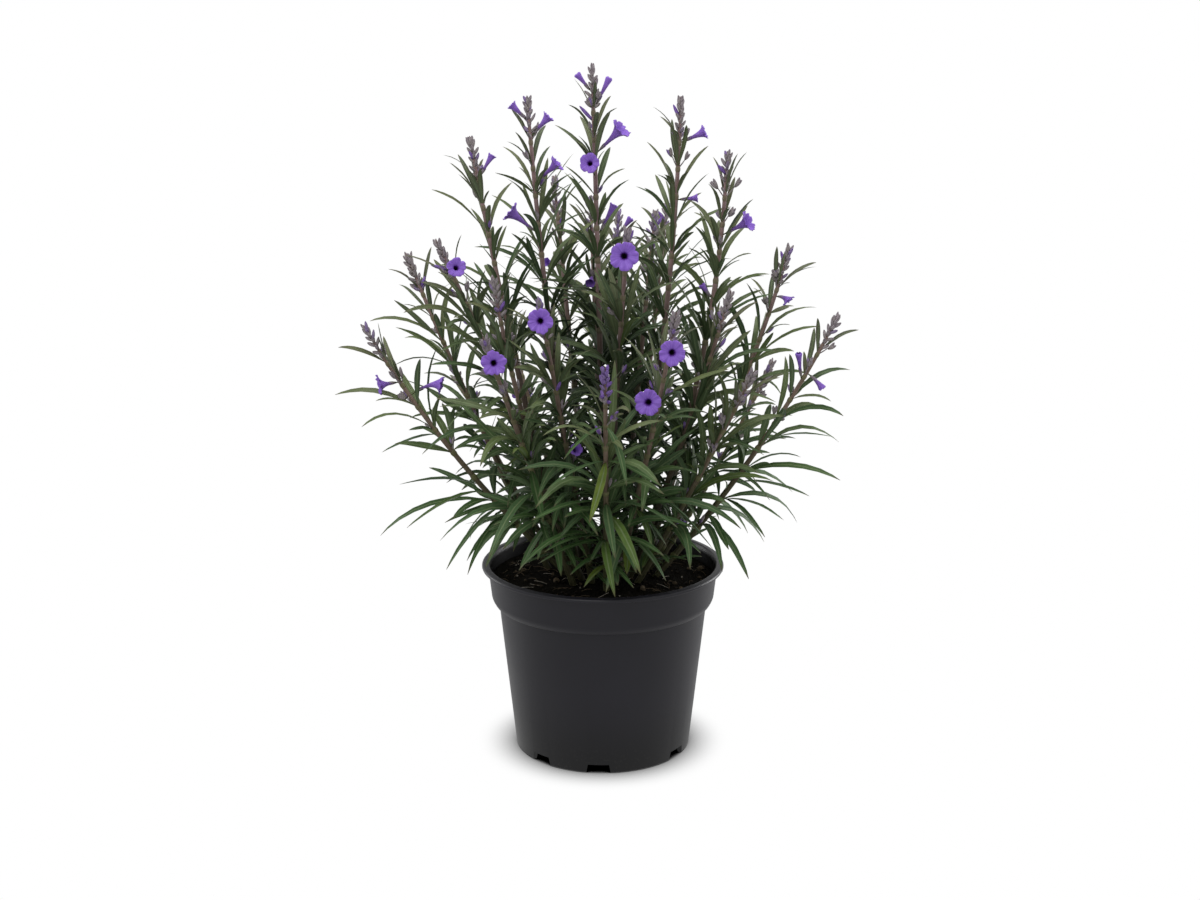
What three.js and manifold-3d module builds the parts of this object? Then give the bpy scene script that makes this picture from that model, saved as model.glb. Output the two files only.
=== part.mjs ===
// Potted ruellia: a nursery container, its soil, leafy stems with their bud spikes, and trumpet flowers.
// Millimetres, +Z up. The origin is the middle of the container's foot, on the surface it stands on.
import * as THREE from 'three';
import { mergeVertices } from 'three/addons/utils/BufferGeometryUtils.js';
import Module from 'manifold-3d';

const wasm = await Module();
wasm.setup();

// Container
const POT_HEIGHT = 220;
const LIP_RADIUS = 140;
const LIP_WIDTH = 9;
const LIP_THICKNESS = 5;
const LIP_ROUND = 1;
const LIP_SLOPE = 0.8;
const BAND_TOP_RADIUS = 132.5;
const BAND_LOW_RADIUS = 128.5;
const BAND_LOW_Z = 180;
const BAND_SHELF = 3.5;
const BAND_SHELF_RISE = 1.6;
const BODY_TOP_RADIUS = 120.3;
const BODY_TOP_Z = 172;
const BASE_RADIUS = 101.9;
const WALL = 2.2;
const FLOOR_Z = 7.5;
const FOOT_WIDTH = 3.7;
const FOOT_CHAMFER = 1.2;
const FOOT_DRAFT = 0.8;
const BEND_THICKENING = 0.6;
const POT_SIDES = 40;

// Drainage notches round the foot: degrees from the front, clockwise seen from below
const NOTCH_TURNS = [-43.6, -2.8, 56, 106, 157, 208, 260];
const NOTCH_HEIGHT = 10.5;
const NOTCH_TOP_WIDTH = 24;
const NOTCH_LOW_WIDTH = 29;
const NOTCH_INNER_RADIUS = 86;
const NOTCH_PAST_WALL = 8;
const NOTCH_BELOW = 1;

// Soil
const SOIL_EDGE_Z = 203;
const SOIL_MIDDLE_Z = 207.5;
const SOIL_CROWN = [[84, 0.35], [40, 0.85]];
const GAP = 0.3;
const SOCKET_GAP = 0.375;

// Stems
const FOOT_Z = 180;
const STEM_SIDES = 5;
const STEM_LOW_RADIUS = 3.9;
const STEM_TOP_RADIUS = 2;
const SHORT_STEM_STOUTNESS = 0.82;
const TALL_STEM = 600;
const STEM_STATIONS = [0, 0.14, 0.3, 0.47, 0.64, 0.82, 1];
const SPIKE_LENGTH = 42;
const SPIKE_ROOM = 5;
const STEM_ROOM = 1;
const SPIKE_PROFILE = [[0.25, 4], [0.75, 3.2]];

// Where each stem stands in the soil, where its tip is, and how soon it leans out (0.5 is straight)
const STEMS = [
  // the tall middle and the outline, from left to right
  { foot: [2, 8], tip: [-12, 0, 779], lean: 0.3, bare: 100 },
  { foot: [-18, 14], tip: [-84, 40, 745], lean: 0.7, bare: 100 },
  { foot: [-35, 2], tip: [-146, 10, 703], lean: 0.6, bare: 90 },
  { foot: [-25, -14], tip: [-178, -70, 600], lean: 0.4, bare: 70 },
  { foot: [-52, 16], tip: [-223, 40, 571], lean: 0.55, bare: 60 },
  { foot: [-16, -4], tip: [-262, -40, 502], lean: 0.65, bare: 60 },
  { foot: [23, 10], tip: [86, 30, 745], lean: 0.9, bare: 100 },
  { foot: [29, -3], tip: [135, -10, 688], lean: 0.95, bare: 80 },
  { foot: [38, 8], tip: [209, 20, 581], lean: 0.7, bare: 60 },
  { foot: [40, -12], tip: [262, -10, 509], lean: 0.65, bare: 60 },
  // in front
  { foot: [-8, -32], tip: [-66, -150, 547], lean: 0.5, bare: 75 },
  { foot: [-14, -18], tip: [-115, -110, 565], lean: 0.75, bare: 80 },
  { foot: [-26, -36], tip: [-121, -190, 515], lean: 0.5, bare: 70 },
  { foot: [8, -36], tip: [74, -180, 539], lean: 0.6, bare: 75 },
  { foot: [4, -50], tip: [2, -229, 492], lean: 0.5, bare: 65 },
  { foot: [5, -18], tip: [26, -110, 616], lean: 0.3, bare: 85 },
  { foot: [20, -20], tip: [138, -60, 543], lean: 0.6, bare: 70 },
  { foot: [26, -32], tip: [162, -100, 464], lean: 0.55, bare: 65 },
  // behind
  { foot: [-10, 26], tip: [-58, 150, 649], lean: 0.5, bare: 90 },
  { foot: [4, 30], tip: [-15, 170, 624], lean: 0.5, bare: 90 },
  { foot: [12, 42], tip: [19, 210, 602], lean: 0.5, bare: 60 },
  { foot: [18, 22], tip: [62, 130, 610], lean: 0.5, bare: 90 },
  { foot: [28, 34], tip: [78, 190, 613], lean: 0.5, bare: 70 },
  { foot: [-20, 40], tip: [-120, 205, 470], lean: 0.55, bare: 45 },
  { foot: [-36, 26], tip: [-190, 140, 440], lean: 0.6, bare: 45 },
  { foot: [42, 42], tip: [150, 210, 480], lean: 0.6, bare: 45 },
  { foot: [46, 22], tip: [205, 130, 430], lean: 0.6, bare: 45 },
  { foot: [-2, 50], tip: [20, 206, 500], lean: 0.5, bare: 45 },
];

// Leaves change from the spike (0) to the soil (1): length, angle from the stem, sag and width
const LEAF_SIZES = [
  { down: 0, length: 46, spread: 25, sag: 0.2, width: 4 },
  { down: 0.06, length: 60, spread: 27, sag: 0.2, width: 4.8 },
  { down: 0.15, length: 78, spread: 30, sag: 0.22, width: 5.8 },
  { down: 0.3, length: 98, spread: 35, sag: 0.28, width: 7.4 },
  { down: 0.5, length: 114, spread: 43, sag: 0.4, width: 9.4 },
  { down: 0.8, length: 122, spread: 54, sag: 0.66, width: 11.6 },
];
// The leaves at each joint: where each grows round the stem, its share of the full length, and from how
// far under the spike such a leaf is found
const JOINT_LEAVES = [
  { turn: 0, length: 1, from: 0 },
  { turn: 180, length: 1, from: 0 },
  { turn: 82, length: 0.66, from: 60 },
];
const LEAF_MIDDLE = 0.42;
const LEAF_KEEL = 0.12;
const LEAF_ROOT_WIDTH = 1.8;
const TURN_TO_LIGHT = 42;
const LEAF_VARIES = { length: 0.12, spread: 7, sag: 0.35, turn: 14, width: 0.1, roll: 18 };
const FIRST_PAIR_VARIES = 40;
const FIRST_PAIR_UNDER_SPIKE = 9;
const TOP_SPACING = 28;
const LOW_SPACING = 43;
const SPACING_GROWS_OVER = 250;

// What is tried, in turn, when a leaf would touch something: turn and spread in degrees, and length
const LEAF_TRIES = [
  [0, 0, 1], [12, 0, 1], [-12, 0, 1], [0, -9, 1], [0, 9, 1], [24, -5, 1], [-24, -5, 1], [0, 0, 0.85],
  [18, 8, 0.85], [-18, 8, 0.85], [40, 0, 0.85], [-40, 0, 0.85], [0, -14, 0.7], [30, -14, 0.7],
  [-30, -14, 0.7], [55, 0, 0.7], [-55, 0, 0.7], [0, 0, 0.55], [60, -15, 0.55], [-60, -15, 0.55],
];
const LEAF_CLEARANCE = 1;
const ROOT_SHARE = 0.35;
const RIM_CLEARANCE = 4;
const RIM_INSIDE = 8;
const SOIL_CLEARANCE = 15;
const LEAF_STEPS = 18;
const LOWEST_TIP = 205;
const FRONT_RISE = 0.3;

// Flowers: the stem that carries each, how far along it, the way it points in degrees, reach and size
const FLOWERS = [
  // wide open and facing the front
  { stem: 16, at: 0.93, turn: -96, rise: 8, reach: 36, limb: 30 },
  { stem: 11, at: 0.94, turn: -92, rise: 8, reach: 36, limb: 26 },
  { stem: 13, at: 0.92, turn: -82, rise: 8, reach: 37, limb: 25 },
  { stem: 14, at: 0.88, turn: -86, rise: 10, reach: 36, limb: 27 },
  { stem: 14, at: 0.72, turn: -124, rise: 13, reach: 36, limb: 28 },
  // on the outline, from left to right
  { stem: 6, at: 0.8, turn: -160, rise: -4, reach: 24, limb: 23 },
  { stem: 6, at: 0.75, turn: 10, rise: 37, reach: 41, limb: 20 },
  { stem: 4, at: 0.9, turn: -83, rise: 34, reach: 31, limb: 21 },
  { stem: 3, at: 0.91, turn: 12, rise: 58, reach: 31, limb: 10 },
  { stem: 2, at: 0.95, turn: -179, rise: 44, reach: 27, limb: 12 },
  { stem: 2, at: 0.92, turn: 0, rise: 48, reach: 31, limb: 15 },
  { stem: 2, at: 0.83, turn: -12, rise: 41, reach: 35, limb: 19 },
  { stem: 2, at: 0.73, turn: 179, rise: 38, reach: 42, limb: 24 },
  { stem: 1, at: 0.95, turn: 179, rise: 50, reach: 27, limb: 8 },
  { stem: 1, at: 0.92, turn: 2, rise: 63, reach: 39, limb: 8 },
  { stem: 1, at: 0.84, turn: -22, rise: 43, reach: 43, limb: 25 },
  { stem: 1, at: 0.8, turn: -112, rise: 49, reach: 32, limb: 22 },
  { stem: 7, at: 0.91, turn: -8, rise: 24, reach: 31, limb: 16 },
  { stem: 7, at: 0.8, turn: -3, rise: 5, reach: 24, limb: 10 },
  { stem: 8, at: 0.82, turn: -25, rise: 28, reach: 36, limb: 24 },
  { stem: 9, at: 0.86, turn: -25, rise: 5, reach: 19, limb: 16 },
  { stem: 10, at: 0.8, turn: -16, rise: -35, reach: 26, limb: 9 },
  { stem: 10, at: 0.77, turn: -125, rise: 75, reach: 35, limb: 8 },
  { stem: 11, at: 0.52, turn: -55, rise: 25, reach: 24, limb: 14 },
  // deeper in and behind
  { stem: 8, at: 0.68, turn: 166, rise: 52, reach: 21, limb: 8 },
  { stem: 19, at: 0.78, turn: -141, rise: 15, reach: 25, limb: 11 },
  { stem: 20, at: 0.8, turn: -100, rise: -25, reach: 24, limb: 12 },
  { stem: 1, at: 0.69, turn: 8, rise: 62, reach: 40, limb: 10 },
  { stem: 21, at: 0.93, turn: 12, rise: 52, reach: 27, limb: 9 },
  { stem: 24, at: 0.66, turn: 110, rise: 15, reach: 34, limb: 28 },
];
const FLOWER_SIDES = 10;
const BUD_SIDES = 6;
const OPEN_LIMB = 18;
const LOBE_NOTCH = 0.84;
const TUBE_PROFILE = [[0, 1.2], [0.72, 2.9]];
const THROAT_DEPTH = 0.82;
const THROAT_RADIUS = 2.4;
const THROAT_END = 0.6;
const TUBE_ROOM = 3.4;
const LIMB_ROOM = 1.6;
const FACET_SHARE = 0.89;
const SEAT_GAP = 0.36;
const CURVE_STEPS = 200;
const UP = new THREE.Vector3(0, 0, 1);

// A repeatable number from -1 to 1 for each pair of whole numbers
function wobble(first, second) {
  const wave = Math.sin(first * 12.9898 + second * 78.233) * 43758.5453;
  return 2 * (wave - Math.floor(wave)) - 1;
}

function radians(degrees) {
  return (degrees * Math.PI) / 180;
}

function mix(low, high, share) {
  return low + (high - low) * share;
}

// A closed body through rings of points; a ring of one point closes an end
function loft(rings) {
  const points = rings.flat();
  const triangles = [];
  const starts = [];
  let count = 0;
  for (const ring of rings) {
    starts.push(count);
    count += ring.length;
  }
  const cap = (ring, start, flip) => {
    for (let i = 1; i < ring.length - 1; i++) {
      triangles.push(flip ? [start, start + i + 1, start + i] : [start, start + i, start + i + 1]);
    }
  };
  cap(rings[0], starts[0], true);
  for (let k = 0; k < rings.length - 1; k++) {
    const sides = Math.max(rings[k].length, rings[k + 1].length);
    for (let i = 0; i < sides; i++) {
      const j = (i + 1) % sides;
      const low = rings[k].length > 1;
      const high = rings[k + 1].length > 1;
      if (low) {
        triangles.push([starts[k] + i, starts[k] + j, starts[k + 1] + (high ? j : 0)]);
      }
      if (high) {
        triangles.push([starts[k] + (low ? i : 0), starts[k + 1] + j, starts[k + 1] + i]);
      }
    }
  }
  cap(rings.at(-1), starts.at(-1), false);
  return solidFrom(points, triangles);
}

// A solid from points and triangles, turned right side out
function solidFrom(points, triangles) {
  let volume = 0;
  for (const [a, b, c] of triangles) {
    volume += points[a].dot(new THREE.Vector3().crossVectors(points[b], points[c]));
  }
  const facing = volume < 0 ? triangles.map(([a, b, c]) => [a, c, b]) : triangles;
  const mesh = new wasm.Mesh({
    numProp: 3,
    vertProperties: new Float32Array(points.flatMap((p) => [p.x, p.y, p.z])),
    triVerts: new Uint32Array(facing.flat()),
  });
  return new wasm.Manifold(mesh);
}

// A solid from a three.js geometry whose shared corners are merged
function solidOf(geometry) {
  geometry.deleteAttribute('normal');
  geometry.deleteAttribute('uv');
  const merged = mergeVertices(geometry, 1e-4);
  const places = merged.attributes.position;
  const points = [];
  for (let i = 0; i < places.count; i++) {
    points.push(new THREE.Vector3().fromBufferAttribute(places, i));
  }
  const triangles = [];
  for (let i = 0; i < merged.index.count; i += 3) {
    const corners = [0, 1, 2].map((k) => merged.index.getX(i + k));
    if (new Set(corners).size === 3) {
      triangles.push(corners);
    }
  }
  return solidFrom(points, triangles);
}

function geometryOf(solid) {
  const mesh = solid.getMesh();
  const geometry = new THREE.BufferGeometry();
  geometry.setAttribute('position', new THREE.BufferAttribute(mesh.vertProperties, 3));
  geometry.setIndex(new THREE.BufferAttribute(mesh.triVerts, 1));
  return geometry;
}

function pointAround(turn, radius, z) {
  return new THREE.Vector3(radius * Math.cos(radians(turn)), radius * Math.sin(radians(turn)), z);
}

function directionOf(turn, rise) {
  return pointAround(turn, Math.cos(radians(rise)), Math.sin(radians(rise)));
}

// A solid turned about +Z from a profile of [radius, height] points
function turned(profile) {
  const outline = profile.map(([radius, z]) => new THREE.Vector2(radius, z));
  const geometry = new THREE.LatheGeometry(outline, POT_SIDES);
  geometry.rotateX(Math.PI / 2);
  return solidOf(geometry);
}

function bodyRadius(z) {
  return mix(BASE_RADIUS, BODY_TOP_RADIUS, z / BODY_TOP_Z);
}

function notchCutter(turn) {
  const outline = new THREE.Shape([
    new THREE.Vector2(-NOTCH_LOW_WIDTH / 2, -NOTCH_BELOW),
    new THREE.Vector2(NOTCH_LOW_WIDTH / 2, -NOTCH_BELOW),
    new THREE.Vector2(NOTCH_TOP_WIDTH / 2, NOTCH_HEIGHT),
    new THREE.Vector2(-NOTCH_TOP_WIDTH / 2, NOTCH_HEIGHT),
  ]);
  const depth = BASE_RADIUS + NOTCH_PAST_WALL - NOTCH_INNER_RADIUS;
  const geometry = new THREE.ExtrudeGeometry(outline, { depth, bevelEnabled: false });
  geometry.rotateX(Math.PI / 2);
  geometry.translate(0, -NOTCH_INNER_RADIUS, 0);
  geometry.rotateZ(radians(turn));
  return solidOf(geometry);
}

function pot() {
  const lipLow = POT_HEIGHT - LIP_THICKNESS;
  const innerEdge = LIP_RADIUS - LIP_WIDTH;
  const floorTop = FLOOR_Z + WALL;
  const shell = turned([
    [0, FLOOR_Z],
    [BASE_RADIUS - FOOT_WIDTH - FOOT_CHAMFER - FOOT_DRAFT, FLOOR_Z],
    [BASE_RADIUS - FOOT_WIDTH - FOOT_CHAMFER, 0],
    [BASE_RADIUS - FOOT_CHAMFER, 0],
    [bodyRadius(FOOT_CHAMFER), FOOT_CHAMFER],
    [BODY_TOP_RADIUS, BODY_TOP_Z],
    [BAND_LOW_RADIUS - BAND_SHELF, BODY_TOP_Z + BAND_SHELF_RISE],
    [BAND_LOW_RADIUS, BAND_LOW_Z],
    [BAND_TOP_RADIUS, lipLow],
    [LIP_RADIUS, lipLow + LIP_ROUND],
    [LIP_RADIUS - 2 * LIP_ROUND, POT_HEIGHT - LIP_SLOPE],
    [innerEdge + LIP_ROUND, POT_HEIGHT],
    [BAND_TOP_RADIUS - WALL - BEND_THICKENING, lipLow],
    [BAND_LOW_RADIUS - WALL, BAND_LOW_Z + BEND_THICKENING],
    [BODY_TOP_RADIUS - WALL, BODY_TOP_Z + WALL],
    [bodyRadius(floorTop) - WALL, floorTop],
    [0, floorTop],
  ]);
  return NOTCH_TURNS.reduce((solid, turn) => solid.subtract(notchCutter(turn)), shell);
}

function soil(sockets) {
  const low = FLOOR_Z + WALL + GAP;
  const mass = turned([
    [0, low],
    [bodyRadius(low) - WALL - 2 * GAP, low],
    [BODY_TOP_RADIUS - WALL - GAP, BODY_TOP_Z + WALL + GAP],
    [BAND_LOW_RADIUS - WALL - 2 * GAP, BAND_LOW_Z + BEND_THICKENING + GAP],
    [BAND_LOW_RADIUS - WALL + GAP, SOIL_EDGE_Z],
    ...SOIL_CROWN.map(([radius, share]) => [radius, mix(SOIL_EDGE_Z, SOIL_MIDDLE_Z, share)]),
    [0, SOIL_MIDDLE_Z],
  ]);
  return sockets.reduce((solid, socket) => solid.subtract(socket), mass);
}

// The middle line of a stem: it leans out early and then rises
function stemLine({ foot, tip, lean }) {
  const low = new THREE.Vector3(foot[0], foot[1], FOOT_Z);
  const high = new THREE.Vector3(...tip);
  const bend = new THREE.Vector3(mix(low.x, high.x, lean), mix(low.y, high.y, lean), mix(low.z, high.z, 0.5));
  return new THREE.QuadraticBezierCurve3(low, bend, high);
}

// Two directions square to a line and to each other
function squareTo(along) {
  const across = new THREE.Vector3(0, 1, 0).cross(along).normalize();
  return [across, new THREE.Vector3().crossVectors(along, across)];
}

function ringAround(centre, along, sides, radiusAt) {
  const [across, other] = squareTo(along);
  return Array.from({ length: sides }, (_, i) => {
    const turn = (2 * Math.PI * i) / sides;
    const radius = radiusAt(i);
    return centre.clone()
      .addScaledVector(across, radius * Math.cos(turn))
      .addScaledVector(other, radius * Math.sin(turn));
  });
}

function spikeStart(line) {
  return 1 - SPIKE_LENGTH / line.getLength();
}

// How thick a stem is at a share of its length: short stems are thinner
function stemRadius(line, share) {
  const stout = mix(SHORT_STEM_STOUTNESS, 1, Math.min(1, line.getLength() / TALL_STEM));
  return stout * mix(STEM_LOW_RADIUS, STEM_TOP_RADIUS, Math.min(1, share / spikeStart(line)));
}

function stemRing(line, share, grow) {
  const radius = stemRadius(line, share) + grow;
  return ringAround(line.getPointAt(share), line.getTangentAt(share), STEM_SIDES, () => radius);
}

// The middle of a stem as modelled, in straight pieces from station to station
function stemCentre(line, share) {
  const top = spikeStart(line);
  if (share >= top) {
    return line.getPointAt(share);
  }
  const next = STEM_STATIONS.findIndex((station) => station * top > share);
  const [low, high] = [STEM_STATIONS[next - 1] * top, STEM_STATIONS[next] * top];
  return line.getPointAt(low).lerp(line.getPointAt(high), (share - low) / (high - low));
}

function stemSolid(line) {
  const top = spikeStart(line);
  const rings = STEM_STATIONS.map((share) => stemRing(line, share * top, 0));
  for (const [share, radius] of SPIKE_PROFILE) {
    const at = mix(top, 1, share);
    rings.push(ringAround(line.getPointAt(at), line.getTangentAt(at), STEM_SIDES, () => radius));
  }
  rings.push([line.getPointAt(1)]);
  return loft(rings);
}

// The hole in the soil that a stem stands in
function socketSolid(line) {
  const top = spikeStart(line);
  const rings = STEM_STATIONS.slice(0, 2).map((share) => stemRing(line, share * top, SOCKET_GAP));
  const deeper = line.getTangentAt(0).multiplyScalar(-GAP);
  rings.unshift(rings[0].map((point) => point.clone().add(deeper)));
  return loft(rings);
}

// A leaf's middle line: it leaves the stem along a direction and sags towards its tip
function leafLine(root, direction, length, sag) {
  const middle = root.clone().addScaledVector(direction, length / 2);
  const tip = root.clone().addScaledVector(direction, length).addScaledVector(UP, -sag * length);
  return new THREE.QuadraticBezierCurve3(root, middle, tip);
}

// Left edge, right edge and keel of a leaf at a share of its length
function leafSection(leaf, share, halfWidth, keel) {
  const along = leaf.line.getTangent(share);
  const side = new THREE.Vector3().crossVectors(along, UP).normalize();
  side.applyAxisAngle(along, leaf.roll);
  const top = new THREE.Vector3().crossVectors(side, along);
  const centre = leaf.line.getPoint(share);
  return [
    centre.clone().addScaledVector(side, -halfWidth),
    centre.clone().addScaledVector(side, halfWidth),
    centre.clone().addScaledVector(top, -keel),
  ];
}

function leafSections(leaf) {
  const rings = [leafSection(leaf, 0, LEAF_ROOT_WIDTH / 2, LEAF_ROOT_WIDTH / 2)];
  rings.push(leafSection(leaf, LEAF_MIDDLE, leaf.width / 2, leaf.width * LEAF_KEEL));
  return [...rings, [leaf.line.getPoint(1)]];
}

// The smallest distance between two straight pieces
function pieceGap(first, second) {
  const d1 = new THREE.Vector3().subVectors(first.to, first.from);
  const d2 = new THREE.Vector3().subVectors(second.to, second.from);
  const r = new THREE.Vector3().subVectors(first.from, second.from);
  const a = d1.dot(d1);
  const e = d2.dot(d2);
  const f = d2.dot(r);
  const c = d1.dot(r);
  const b = d1.dot(d2);
  const spread = a * e - b * b;
  let s = spread > 1e-9 ? THREE.MathUtils.clamp((b * f - c * e) / spread, 0, 1) : 0;
  let t = (b * s + f) / e;
  if (t < 0 || t > 1) {
    t = THREE.MathUtils.clamp(t, 0, 1);
    s = THREE.MathUtils.clamp((b * t - c) / a, 0, 1);
  }
  return r.addScaledVector(d1, s).addScaledVector(d2, -t).length();
}

// Something that takes up room: straight pieces with a radius, and a ball round them all
function placed(owner, pieces) {
  const box = new THREE.Box3();
  for (const piece of pieces) {
    box.expandByPoint(piece.from).expandByPoint(piece.to);
  }
  const ball = box.getBoundingSphere(new THREE.Sphere());
  ball.radius += Math.max(...pieces.map((piece) => piece.radius));
  return { owner, pieces, ball };
}

function chain(points, radius) {
  return points.slice(1).map((to, i) => ({ from: points[i], to, radius }));
}

function stemRoom(owner, line) {
  const shares = STEM_STATIONS.map((share) => share * spikeStart(line));
  const points = shares.map((share) => line.getPointAt(share));
  const radii = shares.map((share) => stemRadius(line, share) + STEM_ROOM);
  const pieces = chain(points, 0).map((piece, i) => ({ ...piece, radius: radii[i] }));
  pieces.push({ from: points.at(-1), to: line.getPointAt(1), radius: SPIKE_ROOM });
  return placed(owner, pieces);
}

// The room of a leaf: its two edges and its keel, each as straight pieces; those near the root are marked
function leafRoom(owner, leaf) {
  const sections = leafSections(leaf);
  const tip = sections.at(-1)[0];
  const pieces = [0, 1, 2].flatMap((k) => {
    const points = sections.slice(0, -1).map((section) => section[k]);
    const start = points[0].clone().lerp(points[1], ROOT_SHARE);
    const root = { ...chain([points[0], start], LEAF_CLEARANCE)[0], root: true };
    return [root, ...chain([start, ...points.slice(1), tip], LEAF_CLEARANCE)];
  });
  return placed(owner, pieces);
}

function clears(room, others) {
  return others.every((other) => {
    const kin = room.owner === other.owner;
    const apart = room.ball.center.distanceTo(other.ball.center) > room.ball.radius + other.ball.radius;
    if (apart || (kin && other.isStem)) {
      return true;
    }
    return room.pieces.every((piece) => other.pieces.every((otherPiece) => {
      const bothAtRoot = kin && (piece.root || otherPiece.root);
      return bothAtRoot || pieceGap(piece, otherPiece) >= piece.radius + otherPiece.radius;
    }));
  });
}

// How low a leaf may hang over the soil, over the rim and beside the container, where the front hangs less
function lowestAt(point) {
  const reach = Math.hypot(point.x, point.y);
  if (reach < BAND_LOW_RADIUS - RIM_INSIDE) {
    return SOIL_MIDDLE_Z + SOIL_CLEARANCE;
  }
  const beside = LOWEST_TIP + FRONT_RISE * Math.max(0, -point.y);
  return reach < LIP_RADIUS + RIM_CLEARANCE ? Math.max(beside, POT_HEIGHT + RIM_CLEARANCE) : beside;
}

function clearsPot(leaf) {
  return leaf.line.getPoints(LEAF_STEPS).slice(2).every((point) => point.z > lowestAt(point));
}

function leafSizeAt(down) {
  const next = LEAF_SIZES.findIndex((row) => row.down > down);
  if (next < 0) {
    return LEAF_SIZES.at(-1);
  }
  const [a, b] = [LEAF_SIZES[next - 1], LEAF_SIZES[next]];
  const share = (down - a.down) / (b.down - a.down);
  return {
    length: mix(a.length, b.length, share),
    spread: mix(a.spread, b.spread, share),
    sag: mix(a.sag, b.sag, share),
    width: mix(a.width, b.width, share),
  };
}

// How long a stem is from the soil to its spike
function leafyLength(line) {
  return line.getLength() * spikeStart(line) - (SOIL_MIDDLE_Z - FOOT_Z);
}

// One leaf of a pair, in the first of the tried ways that is clear of everything
function growLeaf(number, line, under, pair, side, rooms) {
  const share = spikeStart(line) - under / line.getLength();
  const root = stemCentre(line, share);
  const along = line.getTangentAt(share);
  const [across, other] = squareTo(along);
  const size = leafSizeAt(under / leafyLength(line));
  const seed = number * 100 + pair * JOINT_LEAVES.length + side;
  const scale = JOINT_LEAVES[side].length * (1 + LEAF_VARIES.length * wobble(seed, 1));
  const spread = size.spread + LEAF_VARIES.spread * wobble(seed, 2);
  const sag = size.sag * (1 + LEAF_VARIES.sag * wobble(seed, 3));
  const first = FIRST_PAIR_VARIES * wobble(number, 7);
  const turn = first + 90 * pair + JOINT_LEAVES[side].turn + LEAF_VARIES.turn * wobble(seed, 4);
  for (const [turnBy, spreadBy, lengthBy] of LEAF_TRIES) {
    const outward = new THREE.Vector3()
      .addScaledVector(across, Math.cos(radians(turn + turnBy)))
      .addScaledVector(other, Math.sin(radians(turn + turnBy)));
    const direction = new THREE.Vector3()
      .addScaledVector(along, Math.cos(radians(spread + spreadBy)))
      .addScaledVector(outward, Math.sin(radians(spread + spreadBy)));
    const leaf = {
      line: leafLine(root, direction, size.length * scale * lengthBy, sag),
      width: size.width * (1 + LEAF_VARIES.width * wobble(seed, 5)),
      roll: radians(TURN_TO_LIGHT * direction.x + LEAF_VARIES.roll * wobble(seed, 6)),
    };
    const room = leafRoom(number, leaf);
    if (clearsPot(leaf) && clears(room, rooms)) {
      rooms.push(room);
      return leaf;
    }
  }
  return null;
}

function growLeaves(number, row, line, rooms) {
  const leaves = [];
  const lowest = leafyLength(line) - row.bare;
  let under = FIRST_PAIR_UNDER_SPIKE;
  for (let pair = 0; under < lowest; pair++) {
    JOINT_LEAVES.forEach((leaf, side) => {
      if (under >= leaf.from) {
        leaves.push(growLeaf(number, line, under, pair, side, rooms));
      }
    });
    under += mix(TOP_SPACING, LOW_SPACING, Math.min(1, under / SPACING_GROWS_OVER));
  }
  return leaves.filter((leaf) => leaf !== null);
}

// Where a flower leaves its stem, and which way it points
function flowerAxis(flower, line) {
  const along = directionOf(flower.turn, flower.rise);
  const travelled = line.getLengths(CURVE_STEPS)[Math.round(flower.at * CURVE_STEPS)];
  const share = travelled / line.getLength();
  const centre = stemCentre(line, share);
  const lean = along.angleTo(line.getTangentAt(share));
  const clear = FACET_SHARE * flowerStemRadius(line, share) + SEAT_GAP;
  const seat = (clear + TUBE_PROFILE[0][1] * Math.abs(Math.cos(lean))) / Math.sin(lean);
  return { along, base: centre.clone().addScaledVector(along, seat), length: flower.reach - seat };
}

// The stem's radius where a flower sits, also among the buds of the spike
function flowerStemRadius(line, share) {
  const top = spikeStart(line);
  if (share <= top) {
    return stemRadius(line, share);
  }
  const [firstShare, firstRadius] = SPIKE_PROFILE[0];
  return mix(STEM_TOP_RADIUS, firstRadius, Math.min(1, (share - top) / (1 - top) / firstShare));
}

function flowerRoom(name, flower, axis) {
  const at = (share) => axis.base.clone().addScaledVector(axis.along, share * axis.length);
  const rim = ringAround(at(1), axis.along, BUD_SIDES, () => flower.limb / 2);
  const pieces = [
    { from: at(0.1), to: at(0.75), radius: TUBE_ROOM },
    ...chain([...rim, rim[0]], LIMB_ROOM),
    ...rim.map((point) => ({ from: at(0.85), to: point, radius: LIMB_ROOM })),
  ];
  return placed(name, pieces);
}

function flowerSolid(flower, axis) {
  const sides = flower.limb > OPEN_LIMB ? FLOWER_SIDES : BUD_SIDES;
  const at = (share) => axis.base.clone().addScaledVector(axis.along, share * axis.length);
  const lobed = (radius) => (i) => (sides === FLOWER_SIDES && i % 2 ? LOBE_NOTCH * radius : radius);
  const rings = TUBE_PROFILE.map(([share, radius]) => ringAround(at(share), axis.along, sides, () => radius));
  rings.push(ringAround(at(1), axis.along, sides, lobed(flower.limb / 2)));
  rings.push(ringAround(at(THROAT_DEPTH), axis.along, sides, () => THROAT_RADIUS));
  rings.push([at(THROAT_END)]);
  return loft(rings);
}

function numbered(name, index) {
  return `${name}_${String(index + 1).padStart(2, '0')}`;
}

const FINISHES = {
  plastic: new THREE.MeshStandardMaterial({ color: 0x2c2b2f, roughness: 0.45, metalness: 0 }),
  soil: new THREE.MeshStandardMaterial({ color: 0x1a130e, roughness: 1, metalness: 0 }),
  stem: new THREE.MeshStandardMaterial({ color: 0x3c5a3c, roughness: 0.6, metalness: 0 }),
  petal: new THREE.MeshStandardMaterial({ color: 0x8a5fc8, roughness: 0.7, metalness: 0 }),
};

function named(name, solid, material) {
  const mesh = new THREE.Mesh(geometryOf(solid), material);
  mesh.name = name;
  return mesh;
}

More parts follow.
